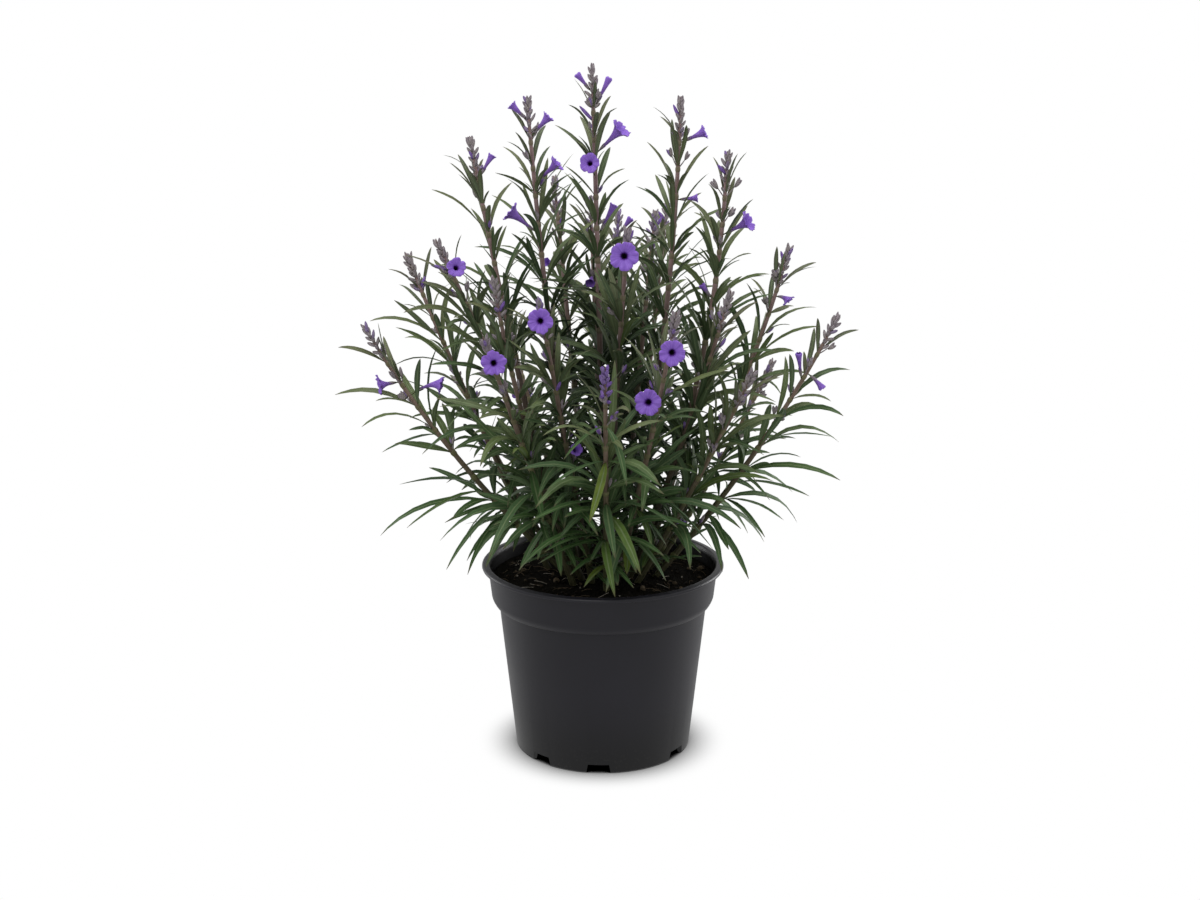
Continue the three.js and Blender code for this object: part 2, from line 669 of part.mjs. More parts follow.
function build() {
  const group = new THREE.Group();
  const lines = STEMS.map(stemLine);
  const rooms = lines.map((line, i) => ({ ...stemRoom(i, line), isStem: true }));
  group.add(named('pot', pot(), FINISHES.plastic));
  group.add(named('potting_soil', soil(lines.map(socketSolid)), FINISHES.soil));
  FLOWERS.forEach((flower, i) => {
    const name = numbered('flower', i);
    const axis = flowerAxis(flower, lines[flower.stem - 1]);
    rooms.push(flowerRoom(name, flower, axis));
    group.add(named(name, flowerSolid(flower, axis), FINISHES.petal));
  });
  STEMS.forEach((row, i) => {
    let solid = stemSolid(lines[i]);
    for (const leaf of growLeaves(i, row, lines[i], rooms)) {
      solid = solid.add(loft(leafSections(leaf)));
    }
    group.add(named(numbered('leafy_stem', i), solid, FINISHES.stem));
  });
  return group;
}

export default build();
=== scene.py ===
import math
from random import Random

import bmesh
import bpy
from mathutils import Matrix, Vector, noise


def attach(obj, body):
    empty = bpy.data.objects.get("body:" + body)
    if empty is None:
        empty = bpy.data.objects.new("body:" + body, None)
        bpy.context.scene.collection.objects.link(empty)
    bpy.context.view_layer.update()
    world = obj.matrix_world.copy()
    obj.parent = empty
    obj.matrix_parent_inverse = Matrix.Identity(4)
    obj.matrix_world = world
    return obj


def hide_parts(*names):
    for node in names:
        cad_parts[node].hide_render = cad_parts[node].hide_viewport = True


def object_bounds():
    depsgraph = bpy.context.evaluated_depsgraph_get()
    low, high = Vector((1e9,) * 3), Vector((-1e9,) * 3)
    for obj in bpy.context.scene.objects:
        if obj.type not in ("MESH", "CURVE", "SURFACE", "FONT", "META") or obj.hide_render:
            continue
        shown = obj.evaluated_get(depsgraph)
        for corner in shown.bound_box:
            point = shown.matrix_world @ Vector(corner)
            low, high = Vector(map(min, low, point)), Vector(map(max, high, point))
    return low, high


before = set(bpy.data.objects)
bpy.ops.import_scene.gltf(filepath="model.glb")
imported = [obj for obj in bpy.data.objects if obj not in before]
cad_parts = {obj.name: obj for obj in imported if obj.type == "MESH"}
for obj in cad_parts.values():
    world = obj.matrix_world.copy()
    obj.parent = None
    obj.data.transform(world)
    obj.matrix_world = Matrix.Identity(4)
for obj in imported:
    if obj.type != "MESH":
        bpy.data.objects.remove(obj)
CAD_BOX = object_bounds()

# Lengths in the tables are millimetres unless a comment says metres, and what is built is in metres
MM = 0.001
UP = Vector((0.0, 0.0, 1.0))
# Two points this near, in metres, are merged
TOUCHING = 1e-6
# A full turn in radians, as near as a random one needs
ROUND = 6.28
# Where each set of random draws starts; a stem's or a flower's number is added
BESIDE_SEED, THINNING_SEED, BUD_SEED, FLOWER_SEED = 500, 700, 900, 300
HANGING_SEED, LOOSE_SEED = 8000, 41

# The photograph's camera: place in metres, pitch in degrees, lens in millimetres
CAMERA_PLACE = (-0.00324, -1.8435, 0.807)
CAMERA_PITCH = -13.88
CAMERA_LENS = 50.0
CAMERA_SENSOR = 36.0

# The container's wall from the middle of its underside, round the lip, to the middle of its floor
POT_OUTLINE = [
    (0, 7.5), (96.2, 7.5), (97, 0), (100.7, 0), (102.03, 1.2), (120.3, 172), (125, 173.6),
    (128.5, 180), (132.5, 215), (139.9, 215.4), (139.2, 219.2), (132, 220), (129.7, 215),
    (126.3, 180.6), (118.1, 174.2), (100.7, 9.7), (0, 9.7),
]
# How far each corner of that outline is rounded, where it is more than a touch
POT_ROUNDING = {6: 2.0, 7: 2.5, 9: 1.6, 10: 1.9, 11: 1.4, 12: 2.0, 13: 2.0}
POT_TOUCH = 0.35
ROUNDING_STEPS = 4
POT_SEGMENTS = 160
# An edge stays sharp where the surface turns by more degrees than this
POT_SHARP, SOIL_SHARP = 32, 50

# Drainage notches in the container's foot: their turns in degrees, and their sizes
NOTCH_TURNS = (-43.6, -2.8, 56.0, 106.0, 157.0, 208.0, 260.0)
NOTCH_HEIGHT = 10.5
NOTCH_BELOW = 4.0
NOTCH_TOP_WIDTH = 24.0
NOTCH_LOW_WIDTH = 29.0
NOTCH_INNER_RADIUS = 86.0
NOTCH_OUTER_RADIUS = 112.0

# Soil: its sides under the surface, and the surface's crown from the middle to the wall
SOIL_EDGE = 126.6
SOIL_SIDE = [(0, 10), (100.2, 10), (117.8, 174.5), (125.7, 180.9), (SOIL_EDGE, 202.6)]
SOIL_CROWN = [(0, 207.5), (40, 206.8), (84, 204.6), (SOIL_EDGE, 203.0)]
SOIL_RINGS = 44
SOIL_SEGMENTS = 120
# What is over this height is the surface, and how far that has sunk under its crown
SOIL_SURFACE = 200.0
SOIL_SINK = 0.6
# Lumps and grains on the surface: how high, how many to a metre, and their layer of the noise
LUMPS = (1.9, 55, 0.3)
GRAINS = (1.1, 190, 4.7)
# In a strip beside the wall, the lumps and grains sink to a share of their height
CALM_STRIP = 6
CALM_SHARE = 0.35

# Loose on the soil: how many of each, their sizes, and how pale they are from 0 to 1
CRUMBS = {"count": 420, "size": (1.4, 5.0), "flatness": (0.35, 0.8), "tone": (0.0, 0.55)}
PERLITE = {"count": 26, "size": (1.2, 2.6), "flatness": (0.7, 1.0), "tone": (0.86, 1.0)}
PEBBLES = [(-53, -35, 8), (45, -60, 6.5), (114, 17, 6), (88, -52, 5), (-92, 12, 5)]
PEBBLE_FLATNESS = 0.8
PEBBLE_TONE = (0.66, 0.8)
SCATTER_RADIUS = 122
# How a crumb or pebble lies: its tilt in radians, its length as a share of its width, how far its
# middle is over the soil as a share of its height, and how deep and fine its dents are
LUMP_TILT = 0.5
LUMP_STRETCH = (0.8, 1.5)
LUMP_LIFT = 0.28
DENT_DEPTH, DENT_FINENESS = 0.5, 2.4
# Fibres: how many, their length, how far they arch up, how far they sway aside as a share of their
# length, and how thick they are; and how high over the soil the middle of each end lies
FIBRES = 90
FIBRE_LENGTH = (8, 22)
FIBRE_ARCH = (1.0, 5.0)
FIBRE_SWAY = 0.5
FIBRE_RADIUS = 0.35
FIBRE_START, FIBRE_END = 0.4, 0.6
FIBRE_TONE = (0.45, 0.95)

# Each stem: where it stands in the soil, where its tip is, and how soon it leans out
FOOT_Z = 180.0
STEMS = [
    ((2, 8), (-12, 0, 779), 0.3), ((-18, 14), (-84, 40, 745), 0.7),
    ((-35, 2), (-146, 10, 703), 0.6), ((-25, -14), (-178, -70, 600), 0.4),
    ((-52, 16), (-223, 40, 571), 0.55), ((-16, -4), (-262, -40, 502), 0.65),
    ((23, 10), (86, 30, 745), 0.9), ((29, -3), (135, -10, 688), 0.95),
    ((38, 8), (209, 20, 581), 0.7), ((40, -12), (262, -10, 509), 0.65),
    ((-8, -32), (-66, -150, 547), 0.5), ((-14, -18), (-115, -110, 565), 0.75),
    ((-26, -36), (-121, -190, 515), 0.5), ((8, -36), (74, -180, 539), 0.6),
    ((4, -50), (2, -229, 492), 0.5), ((5, -18), (26, -110, 616), 0.3),
    ((20, -20), (138, -60, 543), 0.6), ((26, -32), (162, -100, 464), 0.55),
    ((-10, 26), (-58, 150, 649), 0.5), ((4, 30), (-15, 170, 624), 0.5),
    ((12, 42), (19, 210, 602), 0.5), ((18, 22), (62, 130, 610), 0.5),
    ((28, 34), (78, 190, 613), 0.5), ((-20, 40), (-120, 205, 470), 0.55),
    ((-36, 26), (-190, 140, 440), 0.6), ((42, 42), (150, 210, 480), 0.6),
    ((46, 22), (205, 130, 430), 0.6), ((-2, 50), (20, 206, 500), 0.5),
]
# A stalk's radius at the soil, under the spike and at the tip; short stems are slimmer
STEM_LOW_RADIUS, STEM_TOP_RADIUS, STEM_TIP_RADIUS = 3.9, 2.0, 0.5
SHORT_STEM_STOUTNESS = 0.82
TALL_STEM = 600.0
STALK_FULLNESS = 1.1
STEM_SIDES = 10
STEM_STATIONS, COLLAR_STATIONS = 40, 5
# A leaf joint: how far it reaches each way, how far it covers the stalk, and how far it swells
JOINT_REACH = 3.2
JOINT_COVER = 1.02
JOINT_SWELL = 0.24
# Leaf joints from the spike down: the first one, their spacing, and the lowest height in metres
SPIKE_LENGTH = 42.0
FIRST_PAIR_UNDER_SPIKE = 9.0
TOP_SPACING, LOW_SPACING = 28.0, 43.0
SPACING_GROWS_OVER = 250.0
LOWEST_JOINT = 0.225

# A bud's outline, and the spike of buds at each stem's tip: how far under the tip its first pair
# is and its last one may be, and the lean in degrees and the spacing from its top to its foot
BUD_OUTLINE = [(0.0, 0.4), (0.2, 0.8), (0.48, 1.0), (0.74, 0.88), (0.92, 0.5), (1.0, 0.12)]
BUD_SIDES = 5
SPIKE_START, SPIKE_END = 7.0, SPIKE_LENGTH + 6
SPIKE_LEAN = (16, 56)
SPIKE_SPACING = (2.0, 6.2)
SPIKE_BUD_LENGTH = (8.5, 12.0)
SPIKE_BUD_WIDTH = (3.6, 4.6)
# How far the buds stray: each one's turn in radians and lean in degrees, and each pair's turn
SPIKE_TURN_WANDER, SPIKE_LEAN_WANDER, SPIKE_PAIR_WANDER = 0.35, 9, 0.25
# How far a bud's root runs back into its stalk, and how far its tip bows up, as a share of its length
BUD_SEAT = 2
MOST_BOW = 0.16
# How likely a bud of a spike is violet, on most stems and on the odd one
VIOLET_CHANCE = 0.14
VIOLET_SPIKES = {11: 0.35, 15: 1.0, 19: 0.45, 20: 0.55, 21: 0.5, 22: 0.45, 23: 0.4}
# How deep its violet is, from 0 to 1; deeper where a spike's buds are violet more often than this
SPIKE_VIOLET = (0.2, 0.7)
DEEPER_FROM = 0.6

# Tufts of buds at the leaf joints: the chances of a first and a second tuft at a high joint, which
# are half as great at the joints under those, and small at the lowest ones
TUFT_CHANCES = (0.9, 0.55)
LOW_TUFT_CHANCE = 0.1
HIGH_JOINTS, MIDDLE_JOINTS = 3, 8
# A tuft: its stalk's lean in degrees, length and width, how many buds it has and how they spread,
# their length and their width as a share of it, and how many are violet, and how deep that is
TUFT_LEAN = (22, 42)
TUFT_STALK = (7, 17)
TUFT_STALK_WIDTH = 1.5
LOW_STALK_SHARE = 0.7
HIGH_TUFT_BUDS, LOW_TUFT_BUDS = (4, 7), (2, 4)
TUFT_SPREAD = 0.4
TUFT_BUD_LENGTH = (6.5, 11.5)
TUFT_BUD_SLIMNESS = 0.36
TUFT_VIOLET_CHANCE = 0.2
TUFT_VIOLET = (0.4, 1.0)

# Longer violet buds that are about to open: stem, how far along it, direction in degrees and length
VIOLET_BUDS = [
    (7, 0.955, 176, 62, 17), (8, 0.95, 200, 45, 15), (22, 0.95, 20, 52, 18), (23, 0.95, 182, 55, 15),
    (15, 0.9, -88, 72, 24), (15, 0.94, -70, 76, 16), (11, 0.72, -62, 48, 16), (4, 0.92, 182, 8, 21),
    (11, 0.97, -96, 68, 14), (19, 0.88, 20, 55, 14), (9, 0.95, 170, 70, 14), (12, 0.9, -30, 60, 14),
    (16, 0.96, 20, 62, 15), (3, 0.95, 200, 62, 13), (5, 0.9, 25, 60, 14), (26, 0.9, 90, 50, 16),
    (25, 0.9, 150, 50, 16), (28, 0.92, 90, 55, 16), (21, 0.9, 100, 50, 16), (24, 0.92, 120, 50, 15),
    (1, 0.9, 180, 45, 22),
]
VIOLET_BUD_WIDTH = 4.4

# Each flower: its stem, how far along it, the way it points in degrees, reach and width
FLOWERS = [
    (16, 0.93, -96, 8, 36, 30), (11, 0.94, -92, 8, 36, 26), (13, 0.92, -82, 8, 37, 25),
    (14, 0.88, -86, 10, 36, 27), (14, 0.72, -124, 13, 36, 28), (6, 0.8, -160, -4, 24, 23),
    (6, 0.75, 10, 37, 41, 20), (4, 0.9, -83, 34, 31, 21), (3, 0.91, 12, 58, 31, 10),
    (2, 0.95, -179, 44, 27, 12), (2, 0.92, 0, 48, 31, 15), (2, 0.83, -12, 41, 35, 19),
    (2, 0.73, 179, 38, 42, 24), (1, 0.95, 179, 50, 27, 8), (1, 0.92, 2, 63, 39, 8),
    (1, 0.84, -22, 43, 43, 25), (1, 0.8, -112, 49, 32, 22), (7, 0.91, -8, 24, 31, 16),
    (7, 0.8, -3, 5, 24, 10), (8, 0.82, -25, 28, 36, 24), (9, 0.86, -25, 5, 19, 16),
    (10, 0.8, -16, -35, 26, 9), (10, 0.77, -125, 75, 35, 8), (11, 0.52, -55, 25, 24, 14),
    (8, 0.68, 166, 52, 21, 8), (19, 0.78, -141, 15, 25, 11), (20, 0.8, -100, -25, 24, 12),
    (1, 0.69, 8, 62, 40, 10), (21, 0.93, 12, 52, 27, 9), (24, 0.66, 110, 15, 34, 28),
]
# Flowers whose petals turn from their tube to face another way
FACES = {
    1: (0.0, -1.0, 0.1), 2: (-0.05, -1.0, 0.1), 3: (0.1, -1.0, 0.12), 4: (0.0, -1.0, 0.1),
    5: (0.05, -1.0, 0.1), 6: (-1.0, -0.3, -0.15), 7: (0.9, -0.1, -0.3), 8: (0.3, -0.9, 0.25),
    17: (-0.1, -1.0, 0.1), 21: (0.5, -0.3, -0.8), 22: (0.55, -0.1, -1.0), 24: (0.2, -0.9, 0.3),
}
# Where a tube starts to turn towards the way the flower faces, and how far it turns
TUBE_SHARE = 0.62
FACE_TURN = 0.9
# A flower that faces nearly along -Y, to the camera, opens flat; the others open like a funnel
FACES_FRONT = -0.75
# Under the first width a flower is closed, and from the second to the third it opens
CLOSED_LIMB, NARROW_LIMB, OPEN_LIMB = 9.5, 12.0, 20.0
# Trumpets from the stem to the mouth: height as a share of the reach, and for each kind the
# radius as a share of the mouth's and how far the lobes are cut
TRUMPET_HEIGHTS = (0.22, 0.36, 0.5, 0.64, 0.76, 0.85, 0.91, 0.95, 0.98, 1.0)
FLAT_TRUMPET = (
    (0.075, 0.1, 0.125, 0.155, 0.2, 0.27, 0.4, 0.6, 0.82, 1.0),
    (0.0, 0.0, 0.0, 0.0, 0.02, 0.05, 0.15, 0.4, 0.75, 1.0),
)
FUNNEL_TRUMPET = (
    (0.1, 0.14, 0.18, 0.26, 0.38, 0.52, 0.64, 0.76, 0.9, 1.0),
    (0.0, 0.0, 0.0, 0.0, 0.02, 0.1, 0.3, 0.6, 0.85, 1.0),
)
NARROW_TRUMPET = (
    (0.2, 0.26, 0.34, 0.44, 0.55, 0.66, 0.76, 0.85, 0.93, 1.0),
    (0.0, 0.0, 0.0, 0.0, 0.0, 0.05, 0.15, 0.4, 0.75, 1.0),
)
CLOSED_TRUMPET = (
    (0.24, 0.34, 0.45, 0.58, 0.72, 0.86, 0.96, 1.0, 0.9, 0.6),
    (0.0, 0.0, 0.0, 0.0, 0.0, 0.1, 0.4, 0.8, 1.2, 1.4),
)
PETAL_SEGMENTS = 60
# The inside of a trumpet: its height over the outside, and how its radius shrinks and steps in
PETAL_STEP = 0.013
PETAL_SHRINK, PETAL_WALL = 0.985, 0.012
# The rim's five lobes: how unlike in size, how deep the notches between them are, and their droop
LOBES = 5
LOBE_SIZES = (-0.05, 0.07)
LOBE_NOTCH, LOBE_HOLLOW, LOBE_DROOP = 0.12, 0.045, 0.12
# Small waves round the rim: depth and how many, and how much of its flower's own shift each takes
RIM_RUFFLE = (0.02, 13)
RIM_CRINKLES = [(0.06, 9, 1), (0.045, 16, 2), (0.025, 27, 0)]
# The dark throat reaches to this share of the mouth, and the tube's colour starts to fade at a share
# of the reach and fades over another
THROAT_SHARE = 0.52
TUBE_FADE = (0.3, 0.6)
# The calyx: a short tube that ends at a share of the reach, and five sepals round it
CALYX_BEND, CALYX_END = 0.12, 0.26
CALYX_RADIUS = 0.75
SEPALS = 5
SEPAL_TURN = 0.2
SEPAL_RADIUS, SEPAL_HEIGHT = 0.7, 0.16
SEPAL_LEAN = 0.13
SEPAL_LENGTH = (7, 10)
SEPAL_WIDTH = 1.6

# A leaf's section in half widths, left margin to right margin over the midrib, and the keel under it
LEAF_SECTION = [(-1.0, 0.24), (-0.52, 0.24), (0.0, 0.0), (0.52, 0.24), (1.0, 0.24), (0.0, -0.16)]
LEAF_OUTLINE = [
    (0.0, 0.13), (0.08, 0.27), (0.2, 0.62), (0.34, 0.9), (0.5, 1.0), (0.66, 0.93), (0.8, 0.74),
    (0.92, 0.44), (1.0, 0.06),
]
# The keel is what lies this far under the midrib, in half widths
KEEL_FROM = 0.05
# How leaves vary: the most twist in degrees, with none at a share of the length; sway and curl as
# shares of the length, and where the curl starts; and how the section folds and ripples
LEAF_TWIST, UNTWISTED = 30, 0.3
LEAF_SWAY, LEAF_CURL, CURL_START = 0.05, 0.03, 0.6
LEAF_FOLD = (0.6, 1.5)
RIPPLES, RIPPLE_DEPTH = 9, 0.1
# How far a leaf's root runs into its stalk, and the shortest edge that ends in a leaf's tip
LEAF_SEAT = 1.2
SHORTEST_TIP = 5
# How far under its stem's tip a leaf is old, in metres, and how young and old leaves differ from
# the modelled ones: width, length and arch before the tip
OLD_FROM = 0.3
YOUNG_WIDTH, OLD_WIDTH = 1.28, 0.72
YOUNG_LENGTH, OLD_LENGTH = 1.2, 1.0
YOUNG_ARCH, OLD_ARCH = 0.26, 0.06
OLD_WANDER = 0.1
# An old leaf is narrower towards the plant's sides and back, over these distances in metres
SIDE_NARROWING, SIDE_OVER = 0.2, 0.18
BACK_NARROWING, BACK_OVER = 0.16, 0.1
# A leaf's age is 1 at the first height, and falls to 0 this far under its stem's tip, in metres
OLDEST_HEIGHT, YOUNGEST_UNDER_TIP = 0.22, 0.04
# A leaf's tint runs from 0 to 1, and is yellower the further it is under this
YELLOW_TINT = 0.06

# Leaves that grow beside each modelled one: youngest and oldest age, chance, turn round the stem,
# length as a share of the modelled leaf's, and how much higher or lower the tip is
BESIDE = [
    (0.0, 0.5, 0.38, (16, 60), (0.75, 1.1), (-0.25, 0.1)),
    (0.08, 0.6, 0.6, (60, 125), (0.65, 1.05), (-0.25, 0.15)),
    (0.5, 1.0, 0.2, (25, 80), (0.5, 0.9), (-0.2, 0.5)),
    (0.2, 0.8, 0.4, (90, 170), (0.5, 0.95), (-0.15, 0.4)),
    (0.0, 0.6, 0.35, (20, 80), (0.22, 0.5), (-0.15, 0.2)),
]
# More of them deep inside the plant: youngest age, chance at the middle, tries, turn, length, tip
INNER_AGE, INNER_CHANCE, INNER_TRIES = 0.15, 1.9, 2
INNER_SPREAD = ((60, 300), (0.6, 1.0), (-0.1, 0.5))
# The narrowest added leaf, and how much of a lifted tip's rise its bend takes
NARROWEST_SHARE = 0.45
LIFT_AT_BEND = 0.35
# How full the low outer stems are, and those at the front, by how far forward a joint is in metres
OUTER_SHARE = 0.25
FRONT_LEAVES = [(-0.16, 0.1), (-0.12, 1.0), (-0.06, 0.8), (0.0, 0.0)]
# Modelled leaves that are left out where they would crowd: how many, from how far out to the side
# and from how low, and over what distance that grows, in metres
SIDE_THINNING = 0.38
THINNED_BEYOND, THINNED_BELOW, THINNING_GROWS_OVER = 0.06, 0.47, 0.08
# Short dark leaves that crowd the foot of each stem: where on it, size, rise in degrees and arch
BASE_LEAVES = 9
BASE_PLACE = (0.1, 0.28)
BASE_LENGTH, BASE_WIDTH = (34, 78), (5.5, 8.5)
BASE_RISE = (-12, 62)
BASE_BEND, BASE_ARCH = 0.45, (0.1, 0.3)
# How far an added leaf may pass the modelled plant's box, in metres
BOX_MARGIN = 0.01
# Added leaves stay over a height, inside each radius: over the soil, over the lip, and beyond it
CLEAR_HEIGHTS = [(126, 211), (145, 225), (math.inf, 206)]
# How far past a flower's rim, and behind its mouth, leaves still hide it, in metres; a modelled
# leaf that hides it is bowed down step by step, each a share of its length
SIGHT_MARGIN, SIGHT_BEHIND = 0.002, 0.006
BOW_STEP, BOW_STEPS = 0.05, 6

# Leaves that hang in front of the soil and out over the rim: stem, how far along it, tip and width,
# and how yellow the odd one is
HANGING_LEAVES = [
    (13, 0.33, (-91, -112, 244), 9), (13, 0.33, (-71, -112, 256), 8), (13, 0.33, (-45, -116, 239), 10),
    (13, 0.35, (-16, -120, 262), 9), (13, 0.27, (-29, -110, 246), 8), (13, 0.54, (-63, -140, 307), 11),
    (12, 0.4, (-41, -135, 299), 9), (15, 0.2, (-21, -112, 225), 10, 1.0), (14, 0.35, (3, -134, 226), 12),
    (14, 0.35, (-16, -116, 253), 10), (14, 0.35, (-19, -130, 286), 9), (14, 0.26, (69, -110, 231), 11),
    (14, 0.24, (26, -110, 239), 10, 0.8), (18, 0.25, (43, -105, 245), 9, 0.4), (18, 0.2, (72, -105, 251), 8),
    (18, 0.35, (95, -100, 260), 9), (18, 0.33, (108, -90, 256), 9), (14, 0.44, (121, -110, 269), 9),
    (14, 0.36, (53, -125, 275), 9), (10, 0.3, (139, -80, 258), 9), (6, 0.61, (-246, -44, 360), 8),
    (6, 0.42, (-228, -42, 323), 9), (6, 0.4, (-217, -78, 283), 9), (6, 0.34, (-174, -78, 234), 9),
    (10, 0.41, (232, -42, 310), 9), (10, 0.56, (256, -40, 377), 8), (10, 0.35, (200, -76, 292), 9),
    (10, 0.28, (162, -84, 226), 9), (10, 0.36, (180, -72, 270), 8), (11, 0.53, (-42, -116, 292), 9),
    (16, 0.36, (42, -92, 286), 8), (6, 0.28, (-130, -88, 240), 8), (13, 0.4, (-118, -120, 282), 8),
    (15, 0.32, (-62, -172, 285), 9), (15, 0.32, (64, -170, 280), 9), (15, 0.47, (-74, -196, 326), 9),
    (15, 0.47, (78, -194, 318), 9), (15, 0.47, (12, -216, 292), 10), (15, 0.64, (-14, -228, 332), 9),
    (15, 0.64, (60, -218, 368), 8), (15, 0.64, (-58, -218, 364), 8), (15, 0.24, (16, -126, 232), 10),
    (15, 0.24, (-36, -132, 246), 9), (15, 0.78, (24, -232, 372), 8), (15, 0.78, (-40, -228, 398), 7),
]
HANGING_BEND, HANGING_RISE = 0.4, 0.16
HANGING_AGE = 0.85

# How wide the plant is at each height in metres; what is deep inside it is darkened with painted shade, up
# to its crown
PLANT_RADII = [
    (0.2, 0.08), (0.3, 0.19), (0.42, 0.24), (0.52, 0.21), (0.62, 0.15), (0.7, 0.09), (0.8, 0.03),
]
MIDDLE_DEPTH, DEPTH_FALL = 1.2, 1.45
CROWN_TOP = 0.64
CROWN_FADE = 0.16

# Colours as a screen shows them, from 0 to 255
COLOURS = {
    "fresh leaf": (110, 119, 79), "grown leaf": (66, 97, 52), "cool leaf": (72, 98, 62),
    "yellow leaf": (98, 116, 42), "leaf patch": (40, 62, 28), "purple flush": (92, 80, 79),
    "leaf underside": (104, 122, 96), "leaf rib": (116, 132, 92), "painted rim highlight": (112, 112, 88),
    "leaf foot": (104, 112, 62), "leaf tip": (108, 92, 72), "leaf in painted shade": (20, 32, 14),
    "low skin": (64, 70, 32), "middle skin": (128, 110, 92), "high skin": (150, 122, 120),
    "skin streak": (182, 158, 160), "skin patch": (70, 52, 50), "leaf joint": (104, 110, 66),
    "stalk in painted shade": (26, 22, 14),
    "grey bud": (118, 108, 116), "brown bud": (136, 126, 118), "bud tip": (84, 66, 84),
    "bud ridge with painted highlight": (192, 184, 188), "bud hairs": (176, 170, 168), "bud foot": (88, 96, 62),
    "violet bud": (104, 74, 148), "pale violet bud": (142, 112, 190), "violet bud foot": (86, 84, 78),
    "flower tube": (116, 86, 142), "petal": (148, 108, 210), "petal vein": (108, 70, 172),
    "petal painted highlight": (164, 132, 224), "throat star": (96, 48, 150), "throat": (38, 14, 52),
    "plastic": (25, 24, 31), "worn plastic": (30, 29, 37), "plastic in painted low shade": (12, 12, 14),
    "painted shade on inside wall": (6, 6, 7), "dust": (120, 116, 110),
    "wet soil": (6, 6, 5), "soil": (20, 18, 13), "soil crumb": (34, 29, 21),
    "bark bit": (112, 99, 80), "perlite": (186, 180, 168), "grain": (60, 48, 38),
}
# How fast the container's top band widens upwards and where it starts, in metres, and, with the widening
# taken off, the radii between its outer wall and its inside wall, which gets painted shade
BAND_FLARE = 0.106
BAND_START = (0.188, 0.196)
INNER_WALL = (0.1089, 0.1078)

# The floor, in metres, and the soft shadow painted on it: how near, in metres, the container keeps the light
# off, and the range of painted shade that shows; and how much light the glowing floor gives off, and how
# much comes from all round
SHADOW_REACH = 0.055
SHADOW_RANGE = (0.23, 0.96)
SHADOW_SAMPLES = 24
FLOOR_SIZE = 12.0
FLOOR_GLOW = 0.55
WORLD_LIGHT = 0.62
WHITE = (1.0, 1.0, 1.0, 1.0)
# Soft lights: place, what each points at and size in metres, and power in watts
LIGHTS = {
    "top_light": ((0.0, 0.2, 2.4), (0.0, 0.0, 0.3), (1.6, 1.2), 20.0),
    "front_light": ((-0.5, -1.5, 2.3), (0.0, 0.0, 0.4), (1.2, 1.0), 14.0),
    "left_light": ((-1.6, 1.0, 0.5), (0.0, 0.0, 0.2), (0.5, 1.6), 10.0),
    "right_light": ((1.6, 1.0, 0.5), (0.0, 0.0, 0.2), (0.5, 1.6), 18.0),
}


# Numbers, directions and lines

def mixed(low, high, share):
    return low + (high - low) * share


def clamped(value, low=0.0, high=1.0):
    return max(low, min(high, value))


def stepped(rows, at):
    """The value at a place in a table of (place, value) rows."""
    for (a, first), (b, second) in zip(rows, rows[1:]):
        if at <= b:
            return mixed(first, second, clamped((at - a) / (b - a)))
    return rows[-1][1]


def round_pairs(ring):
    """Each item of a closed ring with the next one."""
    return zip(ring, ring[1:] + ring[:1])


def pointing(turn, rise):
    """The direction at a turn round +Z and a rise over the level, in degrees."""
    turn, rise = math.radians(turn), math.radians(rise)
    return Vector((math.cos(turn) * math.cos(rise), math.sin(turn) * math.cos(rise), math.sin(rise)))


def square_to(along):
    """Two directions that are square to a third and to each other."""
    across = Vector((0.0, 1.0, 0.0)).cross(along).normalized()
    return across, along.cross(across)


class Line:
    """A bent line from a start, towards a bend, to an end."""

    STEPS = 80

    def __init__(self, start, bend, end):
        self.start = start
        self.bend = bend
        self.end = end

    def at(self, share):
        low = self.start.lerp(self.bend, share)
        return low.lerp(self.bend.lerp(self.end, share), share)

    def along(self, share):
        return ((self.bend - self.start).lerp(self.end - self.bend, share)).normalized()

    def span(self):
        """The straight distance between the ends."""
        return (self.end - self.start).length

    def points(self, steps, first=0):
        return [self.at(i / steps) for i in range(first, steps + 1)]

    def travelled(self):
        """How far along the line each of its steps is."""
        points = self.points(self.STEPS)
        distances = [0.0]
        for a, b in zip(points, points[1:]):
            distances.append(distances[-1] + (b - a).length)
        return distances

    def length(self):
        return self.travelled()[-1]

    def share_at(self, distance):
        rows = [(length, i / self.STEPS) for i, length in enumerate(self.travelled())]
        return stepped(rows, distance)

    def nearest(self, point):
        shares = [i / self.STEPS for i in range(self.STEPS + 1)]
        return min(shares, key=lambda share: (self.at(share) - point).length_squared)


def stem_name(number):
    return f"leafy_stem_{number:02d}"


def stem_line(row):
    foot, tip, lean = row
    low = Vector((foot[0], foot[1], FOOT_Z)) * MM
    high = Vector(tip) * MM
    bend = low.lerp(high, lean)
    bend.z = (low.z + high.z) / 2
    return Line(low, bend, high)


def depth_inside(point):
    """1 near the plant's middle and 0 near its outside and its top."""
    outward = math.hypot(point.x, point.y) / stepped(PLANT_RADII, point.z)
    return clamped(MIDDLE_DEPTH - DEPTH_FALL * outward) * clamped((CROWN_TOP - point.z) / CROWN_FADE)


# Meshes and pieces

def new_object(name, data):
    made = bpy.data.objects.new(name, data)
    bpy.context.scene.collection.objects.link(made)
    return made


def finished_mesh(name, bm):
    mesh = bpy.data.meshes.new(name)
    bm.to_mesh(mesh)
    bm.free()
    return mesh


def new_piece(bm, name, materials, slot, *nodes):
    """A piece that rides on the only body, and stands for the nodes that it replaces."""
    piece = new_object(name, finished_mesh(name, bm))
    for material in materials:
        piece.data.materials.append(material)
    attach(piece, "root")
    if nodes:
        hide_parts(*nodes)
    return piece


def add_layers(bm, *titles):
    """Adds numbers that the materials read at each point."""
    return [bm.verts.layers.float.new(title) for title in titles]


def smooth(bm):
    for face in bm.faces:
        face.smooth = True


